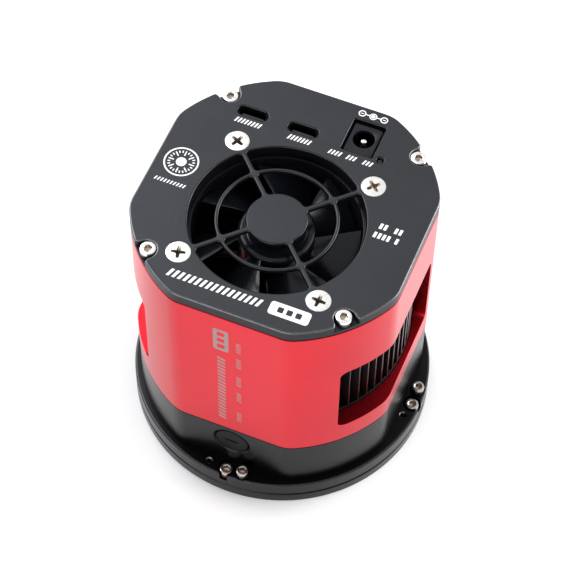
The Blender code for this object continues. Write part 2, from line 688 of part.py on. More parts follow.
def blade(index):
    """One fan blade: a grid bent round the hub, its upper edge leading, and then thickened."""
    chord_steps = 6
    radial_steps = 3
    mesh = bpy.data.meshes.new("blade")
    work = bmesh.new()
    bmesh.ops.create_grid(work, x_segments=chord_steps, y_segments=radial_steps, size=0.5)
    for vertex in work.verts:
        along = vertex.co.x + 0.5
        outward = vertex.co.y + 0.5
        radius = ROTOR_HUB_R - 0.3 + outward * (ROTOR_TIP_R - ROTOR_HUB_R + 0.3)
        sweep = BLADE_START + BLADE_SWEEP * outward
        span = BLADE_SPAN[0] - BLADE_SPAN[1] * outward
        angle = math.radians(index * 360 / BLADES + sweep - span * along)
        height = ROTOR_TOP - 1.0 - BLADE_DROP * along ** 1.15
        vertex.co = Vector((radius * math.cos(angle), radius * math.sin(angle), height)) * MM
    work.to_mesh(mesh)
    work.free()
    item = place("blade", mesh, at(0, FAN_Y))
    thick = item.modifiers.new("thickness", "SOLIDIFY")
    thick.thickness = BLADE_THICK * MM
    thick.offset = 0
    return item


def make_rotor():
    rim = ROTOR_HUB_R
    profile = [(0, ROTOR_TOP), (rim - 1.2, ROTOR_TOP), (rim, ROTOR_TOP - 1.2), (rim, ROTOR_BOTTOM),
               (rim - 0.6, ROTOR_BOTTOM), (rim - 0.6, ROTOR_TOP - 1.4), (rim - 1.2, ROTOR_TOP - 1.8),
               (0, ROTOR_TOP - 1.8)]
    hub = turned("fan_rotor", profile, RING_STEPS, matrix=at(0, FAN_Y))
    for index in range(BLADES):
        join(hub, blade(index))
    finish(hub, LOOKS["fan"])
    magnet = [(9.4, 83.0), (10.2, 83.0), (10.2, 74.6), (9.4, 74.6)]
    finish(turned("fan_magnet", magnet, 28, closed=True, matrix=at(0, FAN_Y)), LOOKS["magnet"])
    shaft = [(0, 82.9), (SHAFT_R, 82.9), (SHAFT_R, 72.5), (0, 72.5)]
    finish(turned("fan_shaft", shaft, 16, matrix=at(0, FAN_Y)), LOOKS["steel"])


def make_motor():
    bearing = [(SHAFT_R + 0.06, 81.6), (2.2, 81.6), (2.2, 72.4), (SHAFT_R + 0.06, 72.4)]
    finish(turned("fan_bearing", bearing, 16, closed=True, matrix=at(0, FAN_Y)), LOOKS["brass"])
    circuit = [(3.4, 73.5), (9.3, 73.5), (9.3, 72.4), (3.4, 72.4)]
    finish(turned("fan_circuit", circuit, 24, closed=True, matrix=at(0, FAN_Y)), LOOKS["board"])
    poles = []
    for quarter in range(4):
        middle = 90 * quarter
        poles += arc(0, 0, 8.8, middle - 34, middle + 34, 5)
        poles += [around(middle + 40, 7.4, 0), around(middle + 45, 4.6, 0), around(middle + 50, 7.4, 0)]
    stator = plate("fan_stator", [turn(poles, 0, 0, FAN_Y), circle(0, FAN_Y, 3.3, 16)], 74.4, 81.0)
    finish(stator, LOOKS["copper"])


def make_lead():
    """Sleeved fan lead along one strut, out through the frame and up to the main board."""
    angle = 180 + STRUT_ANGLE
    route = [(*around(angle, out, 0), 72.75) for out in (10.6, 14, 18, 22, 25, 27)]
    route = [(x, y + FAN_Y, z) for x, y, z in route]
    x, y, _ = route[-1]
    route += [(x - 2.2, y - 0.6, 72.8), (x - 3.4, y - 0.8, 73.0)]
    curve = bpy.data.curves.new("fan_lead", "CURVE")
    curve.dimensions = "3D"
    curve.bevel_depth = 0.6 * MM
    curve.bevel_resolution = 1
    curve.use_fill_caps = True
    spline = curve.splines.new("POLY")
    spline.points.add(len(route) - 1)
    for point, place_mm in zip(spline.points, route):
        point.co = (*(Vector(place_mm) * MM), 1)
    source = place("fan_lead_route", curve)
    mesh = evaluated_mesh(source)
    bpy.data.objects.remove(source)
    finish(place("fan_lead", mesh), LOOKS["lead"])


def make_boards():
    reach = 37.4
    inner = FAN_HALF + 0.6
    low = -20.0
    start = math.degrees(math.asin(low / reach))
    outline = arc(0, 0, reach, start, 180 - start, 30)
    outline += [(-inner, low), (-inner, FAN_Y + inner), (inner, FAN_Y + inner), (inner, low)]
    sx, sy = SINK_SCREW
    holes = [circle(x, sy, M25_R + LOOSE, HOLE_STEPS) for x in (-sx, sx)]
    board = plate("main_board", [outline, *holes], BOARD_BOTTOM, BOARD_TOP)
    join(board, block("memory_chip", (-35, -6, BOARD_TOP - 0.2), (-27, 4, BOARD_TOP + 1)))
    join(board, block("processor_chip", (27, -5, BOARD_TOP - 0.2), (35, 3, BOARD_TOP + 1.2)))
    finish(board, LOOKS["board"])
    low = SENSOR_BOARD[1] + GAP
    near = RIBBON_Y - 0.15
    far = RIBBON_Y + 0.15
    ribbon = [(24, low), (far, low), (far, 70.3), (near, 70.3), (near, low + 0.3), (24, low + 0.3)]
    finish(plate("sensor_flex", [ribbon], -RIBBON_HALF, RIBBON_HALF, ALONG_X), LOOKS["flex"])
    finish(block("flex_connector", (-7, 28.4, 70.6), (7, 30.8, BOARD_BOTTOM - GAP)), LOOKS["plastic"])
    stud = [(0, BOARD_TOP), (M25_R, BOARD_TOP), (M25_R, 73.7), (2.3, 73.7), (2.3, SINK_BASE_TOP + GAP),
            (M25_R, SINK_BASE_TOP + GAP), (M25_R, 23), (0, 23)]
    post = finish(turned("board_standoff", stud, 6), LOOKS["brass"])
    copies(post, [("board_standoff_1", at(-sx, sy)), ("board_standoff_2", at(sx, sy))])


def make_ports():
    foot = BOARD_TOP + GAP
    for name, x, y in USB_PLACES:
        port = block(name, (x - 4.7, y - 2.2, foot), (x + 4.7, y + 2.2, 82))
        join(port, plate(name + "_mouth", [slot_outline(x, y, 4.4, 1.55)], 81, 89.2))
        cut(port, plate(name + "_socket", [slot_outline(x, y, 4.15, 1.3)], 83.0, 91))
        join(port, block(name + "_tongue", (x - 3.35, y - 0.35, 82.5), (x + 3.35, y + 0.35, 88.0)))
        finish(port, LOOKS["port"])
    jx, jy = JACK_PLACE
    jack = plate("dc_jack", [rounded_box(jx, jy, *JACK_HALF, 1.0, 2)], foot, 89.0)
    cut(jack, cylinder("dc_socket", jx, jy + JACK_SOCKET_SHIFT, 3.15, 79, 92, 20))
    finish(jack, LOOKS["plastic"])
    pin = [(0, 88.2), (0.6, 88.2), (1.0, 87.7), (1.0, 79.3), (0, 79.3)]
    finish(turned("dc_jack_pin", pin, HOLE_STEPS, matrix=at(jx, jy + JACK_SOCKET_SHIFT)), LOOKS["steel"])
    pipe = [(0, 89.2), (0.75, 89.2), (0.75, foot), (0, foot)]
    finish(turned("status_light_pipe", pipe, HOLE_STEPS, matrix=at(*LIGHT_PLACE)), LOOKS["glass"])


# ---------------------------------------------------------------- build

clear_scene()
PARTS = new_collection(NAME)
CUTTERS = new_collection(NAME + "_cutters")
LOOKS = {
    "black": material("black_anodised", (0.028, 0.028, 0.030), 0.42, 0.6),
    "black_sink": material("black_heat_sink", (0.020, 0.020, 0.022), 0.45, 0.6),
    "dark": material("dark_grey_anodised", (0.060, 0.060, 0.065), 0.48, 0.5),
    "red": material("red_anodised", (0.62, 0.03, 0.045), 0.38, 0.6),
    "steel": material("stainless_steel", (0.78, 0.77, 0.74), 0.25, 1.0),
    "brass": material("brass", (0.72, 0.53, 0.24), 0.35, 1.0),
    "copper": material("copper", (0.72, 0.36, 0.22), 0.35, 1.0),
    "rubber": material("black_rubber", (0.02, 0.02, 0.02), 0.8, 0.0),
    "foam": material("black_foam", (0.03, 0.03, 0.03), 0.95, 0.0),
    "glass": material("coated_glass", (0.55, 0.75, 0.70), 0.05, 0.0),
    "ceramic": material("white_ceramic", (0.80, 0.78, 0.73), 0.5, 0.0),
    "silicon": material("sensor_silicon", (0.10, 0.08, 0.14), 0.15, 0.3),
    "board": material("circuit_board", (0.01, 0.09, 0.04), 0.45, 0.0),
    "flex": material("flex_ribbon", (0.55, 0.30, 0.06), 0.45, 0.0),
    "fan": material("fan_plastic", (0.015, 0.015, 0.017), 0.35, 0.0),
    "magnet": material("rubber_magnet", (0.05, 0.045, 0.045), 0.6, 0.2),
    "plastic": material("black_plastic", (0.03, 0.03, 0.032), 0.5, 0.0),
    "port": material("port_steel", (0.25, 0.25, 0.26), 0.35, 1.0),
    "lead": material("red_lead", (0.45, 0.04, 0.03), 0.5, 0.0),
    "desiccant": material("desiccant", (0.85, 0.80, 0.72), 0.9, 0.0),
}

make_tilt_plate()
make_light_seal()
make_front_body()
make_window()
make_desiccant()
make_sensor()
make_cooler()
make_heat_sink()
make_shell()
make_cover()
make_fan_frame()
make_rotor()
make_motor()
make_lead()
make_boards()
make_ports()
make_fasteners()
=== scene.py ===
"""Looks of the cooled astronomy camera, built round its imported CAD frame.

Lengths are in millimetres and are scaled by MM where they reach Blender. Z = 0 is the telescope face, +Z runs
to the fan side, and the desiccant plug faces -Y.
"""

import math

import bmesh
import bpy
from mathutils import Matrix, Vector


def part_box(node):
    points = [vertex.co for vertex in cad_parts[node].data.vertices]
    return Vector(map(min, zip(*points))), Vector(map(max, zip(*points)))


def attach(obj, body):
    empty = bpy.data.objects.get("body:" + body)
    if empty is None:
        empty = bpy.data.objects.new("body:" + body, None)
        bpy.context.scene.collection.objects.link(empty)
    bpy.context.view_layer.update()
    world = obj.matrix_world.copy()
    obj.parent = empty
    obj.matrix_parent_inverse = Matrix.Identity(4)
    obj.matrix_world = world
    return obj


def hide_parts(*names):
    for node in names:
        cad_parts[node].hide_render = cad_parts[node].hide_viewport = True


MM = 0.001
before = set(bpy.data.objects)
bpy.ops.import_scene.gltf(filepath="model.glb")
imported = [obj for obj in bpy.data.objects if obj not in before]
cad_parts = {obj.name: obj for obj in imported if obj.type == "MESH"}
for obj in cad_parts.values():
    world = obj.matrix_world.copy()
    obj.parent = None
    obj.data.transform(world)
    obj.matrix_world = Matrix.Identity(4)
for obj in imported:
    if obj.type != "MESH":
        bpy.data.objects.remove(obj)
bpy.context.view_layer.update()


# ------------------------------------------------------------------ places read from the CAD

def mm_box(node):
    low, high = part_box(node)
    return low / MM, high / MM


def middle(node):
    low, high = mm_box(node)
    return (low + high) / 2


def numbered(prefix):
    """Name and middle of the four CAD nodes with that prefix."""
    return [(f"{prefix}_{i}", middle(f"{prefix}_{i}")) for i in range(1, 5)]


COVER_LOW, COVER_HIGH = (c.z for c in mm_box("top_cover"))
FLAT = mm_box("top_cover")[1].x
SHELL_LOW, SHELL_HIGH = (c.z for c in mm_box("main_shell"))
FLANGE_R = mm_box("tilt_plate")[1].x
TILT_TOP = mm_box("tilt_plate")[1].z
FLANGE_LOW, SPIGOT_TOP = (c.z for c in mm_box("front_body"))
FAN = middle("fan_bearing")
FAN_LOW, FAN_HIGH = (c.z for c in mm_box("fan_frame"))
ROTOR_LOW, ROTOR_HIGH = (c.z for c in mm_box("fan_rotor"))
SINK_LOW, FIN_TOP = (c.z for c in mm_box("heat_sink"))
PLUG = middle("desiccant_plug")

GAP = 0.3                   # air between pieces that touch in the real camera
ROUND = 43.0                # radius of the body's rounded corners
FILLET = 10.0               # blend between a flat and a corner
FLANGE_TOP = 9.4
BODY_TOP = SHELL_LOW - GAP
CORNERS = (45, 135, 225, 315)
CORNER_SCREW_OUT = 40.4
WINDOW = (35.8, 64.8, -31.2, 13.9)      # the air windows' Z from and to, then their Y from and to
THREAD_R = 26.6             # the telescope thread
PULL_POCKET_FLOOR = 6.6
SMALL_HOLES = ((-6.3, -42.0), (41.3, -5.2), (6.3, 42.0), (-42.0, 6.3))      # beside the pairs of tilt screws

# cover and guard
OPENING_R = 24.6            # the fan's opening
GUARD_RING = (16.2, 17.3)
GUARD_HUB = 8.6
BAR_HALF = 0.75
BAR_LOW = COVER_HIGH - 1.5
FACE = COVER_HIGH - 0.02    # the cover's top face, under the thickness of its printed marks
NOTCH = (41.1, 3.0, 2.2)    # how far out a screw's notch is, its radius, and the radius of its lips
NOTCH_FLOOR = COVER_HIGH - 2.5
USB_PORTS = ("usb_c_port_device", "usb_c_port_main")

# fan
FAN_BORE_R = 23.8
STRUT_ANGLE = 20
BLADES = 7
HUB_R = 11.0
TIP_R = 23.2
BLADE_START = 11.0          # degrees to the first blade's upper edge at the hub
BLADE_SWEEP = 12.0          # degrees that edge leans forward from hub to tip
BLADE_BOW = 2.0
BLADE_SPAN = (44.0, 5.0)    # degrees covered at the hub, and how much less at the tip
BLADE_DROP = 9.0

# heat sink
SINK_R = 37.9
SINK_BASE_TOP = 36.0
FIN_COUNT = 22
FIN_PITCH = 2.7
FIN_HALF = 0.4

# M2.5 socket cap screws
M25_R = 1.25
HEAD_HIGH = 2.3
SOCKET_DEPTH = 1.3


# ------------------------------------------------------------------ outlines

def arc(cx, cy, radius, start, end, steps):
    points = []
    for i in range(steps + 1):
        a = math.radians(start + (end - start) * i / steps)
        points.append((cx + radius * math.cos(a), cy + radius * math.sin(a)))
    return points


def circle(cx, cy, radius, steps):
    return arc(cx, cy, radius, 0, 360, steps)[:-1]


def turn(points, degrees, cx=0.0, cy=0.0):
    c = math.cos(math.radians(degrees))
    s = math.sin(math.radians(degrees))
    return [(cx + c * x - s * y, cy + s * x + c * y) for x, y in points]


def blend_angle():
    """Degrees that the blend at a flat's end turns through, and how far from the flat's middle it sits."""
    inner_flat = FLAT - FILLET
    rise = math.sqrt((ROUND - FILLET) ** 2 - inner_flat ** 2)
    return math.degrees(math.atan2(rise, inner_flat)), rise


def body_outline(inset=0.0, notched=False, steps=28):
    """The camera's outside, a square with corners on one circle, with or without its four screw notches."""
    angle, rise = blend_angle()
    fillet = FILLET - inset
    radius = ROUND - inset
    points = []
    for corner in CORNERS:
        first = arc(FLAT - FILLET, rise, fillet, 0, angle, 6)[:-1]
        last = arc(rise, FLAT - FILLET, fillet, 90 - angle, 90, 6)[1:]
        if notched:
            out, r, lip = NOTCH
            r += inset
            lip -= inset
            away = r + lip
            theta = meet_angle(out, away, lip, radius)
            reach = math.degrees(math.atan2(away + lip * math.sin(theta), out + lip * math.cos(theta)))
            local = arc(0, 0, radius, angle - 45, -reach, steps // 2)
            local += arc(out, -away, lip, -math.degrees(theta), 90, 8)[1:]
            local += arc(out, 0, r, 270, 90, 20)[1:]
            local += arc(out, away, lip, 270, 360 + math.degrees(theta), 8)[1:]
            local += arc(0, 0, radius, reach, 45 - angle, steps // 2)[1:]
            bow = turn(local, 45)
        else:
            bow = arc(0, 0, radius, angle, 90 - angle, steps)
        points += turn(first + bow + last, corner - 45)
    return points


def meet_angle(cx, cy, lip, radius):
    """Angle on a notch lip's arc where it reaches the outside circle."""
    low, high = math.radians(-90), 0.0
    for _ in range(40):
        mid = (low + high) / 2
        if math.hypot(cx + lip * math.cos(mid), cy + lip * math.sin(mid)) < radius:
            low = mid
        else:
            high = mid
    return low


def rounded_box(cx, cy, hx, hy, radius, steps=6):
    points = []
    for sx, sy, start in ((1, 1, 0), (-1, 1, 90), (-1, -1, 180), (1, -1, 270)):
        points += arc(cx + sx * (hx - radius), cy + sy * (hy - radius), radius, start, start + 90, steps)
    return points


def slot(cx, cy, half_length, radius, steps=12):
    reach = half_length - radius
    return arc(cx + reach, cy, radius, -90, 90, steps) + arc(cx - reach, cy, radius, 90, 270, steps)


def guard_window(inner, outer, fillet, steps):
    """One opening of the guard between two diagonal spokes, centred on 0 degrees."""
    side = BAR_HALF + fillet
    oa = 45 - math.degrees(math.asin(side / (outer - fillet)))
    ia = 45 - math.degrees(math.asin(side / (inner + fillet)))
    ox, oy = ((outer - fillet) * f(math.radians(oa)) for f in (math.cos, math.sin))
    ix, iy = ((inner + fillet) * f(math.radians(ia)) for f in (math.cos, math.sin))
    points = arc(0, 0, outer, -oa, oa, steps)
    points += arc(ox, oy, fillet, oa, 135, 6)[1:]
    points += arc(ix, iy, fillet, 135, 180 + ia, 6)
    points += arc(0, 0, inner, ia, -ia, steps)[1:-1]
    points += arc(ix, -iy, fillet, 180 - ia, 225, 6)
    points += arc(ox, -oy, fillet, 225, 360 - oa, 6)[:-1]
    return points


# ------------------------------------------------------------------ meshes

def link(name, mesh, matrix=None):
    item = bpy.data.objects.new(name, mesh)
    item.matrix_world = matrix or Matrix()
    bpy.context.scene.collection.objects.link(item)
    return item


def baked(item):
    """Applies an object's modifiers and welds its mesh."""
    bpy.context.view_layer.update()
    mesh = bpy.data.meshes.new_from_object(item.evaluated_get(bpy.context.evaluated_depsgraph_get()))
    work = bmesh.new()
    work.from_mesh(mesh)
    bmesh.ops.remove_doubles(work, verts=work.verts, dist=2e-7)
    bmesh.ops.recalc_face_normals(work, faces=work.faces)
    work.to_mesh(mesh)
    work.free()
    return mesh


def plate(name, outlines, low, high, bevel=0.0, rounds=0):
    """Flat piece from closed outlines, its rim first, with every edge chamfered or rounded by bevel."""
    curve = bpy.data.curves.new(name, "CURVE")
    curve.dimensions = "2D"
    curve.fill_mode = "BOTH"
    curve.extrude = ((high - low) / 2 - bevel) * MM
    curve.bevel_depth = bevel * MM
    curve.bevel_resolution = rounds
    curve.offset = -bevel * MM
    for outline in outlines:
        spline = curve.splines.new("POLY")
        spline.points.add(len(outline) - 1)
        for point, (x, y) in zip(spline.points, outline):
            point.co = (x * MM, y * MM, 0, 1)
        spline.use_cyclic_u = True
    source = link(name, curve)
    mesh = baked(source)
    mesh.transform(Matrix.Translation((0, 0, (low + high) / 2 * MM)))
    bpy.data.objects.remove(source)
    return link(name, mesh)


def mesh_of(work, name):
    mesh = bpy.data.meshes.new(name)
    work.to_mesh(mesh)
    work.free()
    return mesh


def ring(work, r, z, steps, shape=lambda angle: 1.0):
    """Vertices round Z, or one vertex where there is no radius. The shape scales the radius at each angle."""
    if r < 1e-6:
        return [work.verts.new((0, 0, z * MM))]
    angles = [math.tau * i / steps for i in range(steps)]
    centre = Vector((0, 0, z * MM))
    return [work.verts.new(Vector((math.cos(a), math.sin(a), 0)) * (r * shape(a) * MM) + centre)
            for a in angles]


def skin(work, rings, steps, closed=False):
    """Faces from each ring to the next, as one list for each pair of rings."""
    pairs = list(zip(rings, rings[1:]))
    if closed:
        pairs.append((rings[-1], rings[0]))
    rows = []
    for a, b in pairs:
        rows.append([])
        for i in range(steps):
            j = (i + 1) % steps
            corners = list(dict.fromkeys([a[i % len(a)], a[j % len(a)], b[j % len(b)], b[i % len(b)]]))
            if len(corners) > 2:
                rows[-1].append(work.faces.new(corners))
    bmesh.ops.recalc_face_normals(work, faces=work.faces)
    return rows


def lathe(name, profile, steps, matrix=None):
    """Piece turned about Z, from a profile that runs from axis to axis or closes on itself."""
    work = bmesh.new()
    skin(work, [ring(work, r, z, steps) for r, z in profile], steps, profile[0][0] > 0)
    return link(name, mesh_of(work, name), matrix)


def cut(target, *cutters, operation="DIFFERENCE"):
    """Cuts or joins, and applies it at once."""
    for cutter in cutters:
        modifier = target.modifiers.new("cut", "BOOLEAN")
        modifier.operation = operation
        modifier.solver = "EXACT"
        modifier.object = cutter
        mesh = baked(target)
        target.modifiers.clear()
        target.data = mesh
        bpy.data.objects.remove(cutter)
    return target


def merge(name, *items):
    """One object from several, meshes kept as they are."""
    work = bmesh.new()
    for item in items:
        part = item.data.copy()
        part.transform(item.matrix_world)
        work.from_mesh(part)
        bpy.data.objects.remove(item)
    return link(name, mesh_of(work, name))


def soften(item, width, wanted, segments):
    """Bevels the sharp edges that the test picks."""
    sharp = 0.6
    work = bmesh.new()
    work.from_mesh(item.data)
    edges = [edge for edge in work.edges
             if len(edge.link_faces) == 2 and edge.calc_face_angle(0) > sharp and wanted(edge)]
    bmesh.ops.bevel(work, geom=edges, offset=width * MM, offset_type="OFFSET", segments=segments, profile=0.5,
                    affect="EDGES", clamp_overlap=True)
    work.to_mesh(item.data)
    work.free()


def smooth(item, degrees):
    item.data.shade_smooth()
    item.data.set_sharp_from_angle(angle=math.radians(degrees))
    even = item.modifiers.new("even", "WEIGHTED_NORMAL")
    even.mode = "FACE_AREA"
    even.weight = 90
    even.keep_sharp = True


def piece(item, look, nodes=(), body="camera", degrees=32):
    """Finishes a visible piece: shading, material, the CAD nodes it stands for, and its body."""
    smooth(item, degrees)
    item.data.materials.clear()
    item.data.materials.append(LOOKS[look])
    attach(item, body)
    if nodes:
        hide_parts(*nodes)
    return item


def second(item, look, test):
    """A second material on the faces that the test picks by their middle in millimetres and their normal,
    used for real finishes and for painted highlights and shade.
    """
    item.data.materials.append(LOOKS[look])
    for face in item.data.polygons:
        if test(face.center / MM, face.normal):
            face.material_index = len(item.data.materials) - 1


def at(x, y, z=0.0, degrees=0.0):
    """A place in millimetres, turned about Z."""
    return Matrix.Translation(Vector((x, y, z)) * MM) @ Matrix.Rotation(math.radians(degrees), 4, "Z")


ALONG_X = Matrix(((0, 0, 1, 0), (1, 0, 0, 0), (0, 1, 0, 0), (0, 0, 0, 1)))
TOWARDS_FRONT = Matrix.Rotation(math.radians(90), 4, "X")
PLUG_LINE = at(0, 0, PLUG.z) @ TOWARDS_FRONT


# ------------------------------------------------------------------ materials

GRAIN_HEIGHT = 0.03 * MM
SLEEVE_START = (14.8, 15.2)     # how far from the fan's axis the lead's sleeve fades in


def node_tools(name):
    made = bpy.data.materials.new(name)
    made.use_nodes = True
    nodes = made.node_tree.nodes
    links = made.node_tree.links
    return made, nodes, links, nodes["Principled BSDF"]


def put(node, values):
    for name, value in values.items():
        node.inputs[name].default_value = value


def noise(nodes, links, coords, scale, detail=3.0):
    item = nodes.new("ShaderNodeTexNoise")
    put(item, {"Scale": scale, "Detail": detail, "Roughness": 0.55})
    links.new(coords, item.inputs["Vector"])
    return item


def ramp(nodes, links, value, stops):
    item = nodes.new("ShaderNodeValToRGB")
    elements = item.color_ramp.elements
    elements[0].position, elements[0].color = stops[0][0], (*stops[0][1], 1)
    elements[1].position, elements[1].color = stops[-1][0], (*stops[-1][1], 1)
    for position, colour in stops[1:-1]:
        extra = elements.new(position)
        extra.color = (*colour, 1)
    links.new(value, item.inputs["Fac"])
    return item


def span(nodes, links, value, low, high):
    """Spreads the usual range of a noise over another range."""
    item = nodes.new("ShaderNodeMapRange")
    put(item, {"From Min": 0.3, "From Max": 0.7, "To Min": low, "To Max": high})
    links.new(value, item.inputs["Value"])
    return item


def shaded(colour, factor):
    return tuple(min(1.0, c * factor) for c in colour)


def surface(name, colour, roughness, metallic, grain=4000.0, contrast=0.25, bump=0.15, blotch=120.0,
            coat=0.0, spread=0.08, specular=0.5, stretch=(1, 1, 1)):
    """A finish with fine grain in its colour, roughness and height, and broad soft variation over it."""
    made, nodes, links, shader = node_tools(name)
    coords = nodes.new("ShaderNodeTexCoord").outputs["Object"]
    mapping = nodes.new("ShaderNodeMapping")
    mapping.inputs["Scale"].default_value = stretch
    links.new(coords, mapping.inputs["Vector"])
    fine = noise(nodes, links, mapping.outputs["Vector"], grain, 2.0)
    broad = noise(nodes, links, coords, blotch, 4.0)
    grains = ramp(nodes, links, fine.outputs["Fac"],
                  [(0.32, shaded(colour, 1 - contrast)), (0.5, colour),
                   (0.70, shaded(colour, 1 + contrast * 1.4))])
    tones = ramp(nodes, links, broad.outputs["Fac"], [(0.3, (0.90,) * 3), (0.7, (1.0,) * 3)])
    mix = nodes.new("ShaderNodeMix")
    mix.data_type = "RGBA"
    mix.blend_type = "MULTIPLY"
    mix.inputs["Factor"].default_value = 1.0
    links.new(grains.outputs["Color"], mix.inputs["A"])
    links.new(tones.outputs["Color"], mix.inputs["B"])
    links.new(mix.outputs["Result"], shader.inputs["Base Color"])
    rough = span(nodes, links, fine.outputs["Fac"], roughness - spread, roughness + spread)
    links.new(rough.outputs["Result"], shader.inputs["Roughness"])
    height = nodes.new("ShaderNodeBump")
    put(height, {"Strength": bump, "Distance": GRAIN_HEIGHT})
    links.new(fine.outputs["Fac"], height.inputs["Height"])
    links.new(height.outputs["Normal"], shader.inputs["Normal"])
    put(shader, {"Metallic": metallic, "Specular IOR Level": specular, "Coat Weight": coat,
                 "Coat Roughness": max(0.08, roughness * 0.75)})
    return made


def lead_look(name):
    """A red lead in a black sleeve that starts away from the fan's axis."""
    made, nodes, links, shader = node_tools(name)
    coords = nodes.new("ShaderNodeTexCoord").outputs["Object"]
    place = nodes.new("ShaderNodeVectorMath")
    place.operation = "SUBTRACT"
    place.inputs[1].default_value = (FAN.x * MM, FAN.y * MM, FAN_LOW * MM)
    links.new(coords, place.inputs[0])
    away = nodes.new("ShaderNodeVectorMath")
    away.operation = "LENGTH"
    links.new(place.outputs["Vector"], away.inputs[0])
    sleeve = nodes.new("ShaderNodeMapRange")
    put(sleeve, {"From Min": SLEEVE_START[0] * MM, "From Max": SLEEVE_START[1] * MM})
    links.new(away.outputs["Value"], sleeve.inputs["Value"])
    fine = noise(nodes, links, coords, 2500.0)
    red = ramp(nodes, links, fine.outputs["Fac"], [(0.3, (0.11, 0.036, 0.026)), (0.7, (0.17, 0.056, 0.04))])
    black = ramp(nodes, links, fine.outputs["Fac"],
                 [(0.3, (0.008, 0.008, 0.009)), (0.7, (0.018, 0.018, 0.019))])
    mix = nodes.new("ShaderNodeMix")
    mix.data_type = "RGBA"
    links.new(sleeve.outputs["Result"], mix.inputs["Factor"])
    links.new(red.outputs["Color"], mix.inputs["A"])
    links.new(black.outputs["Color"], mix.inputs["B"])
    links.new(mix.outputs["Result"], shader.inputs["Base Color"])
    rough = span(nodes, links, fine.outputs["Fac"], 0.35, 0.5)
    links.new(rough.outputs["Result"], shader.inputs["Roughness"])
    return made


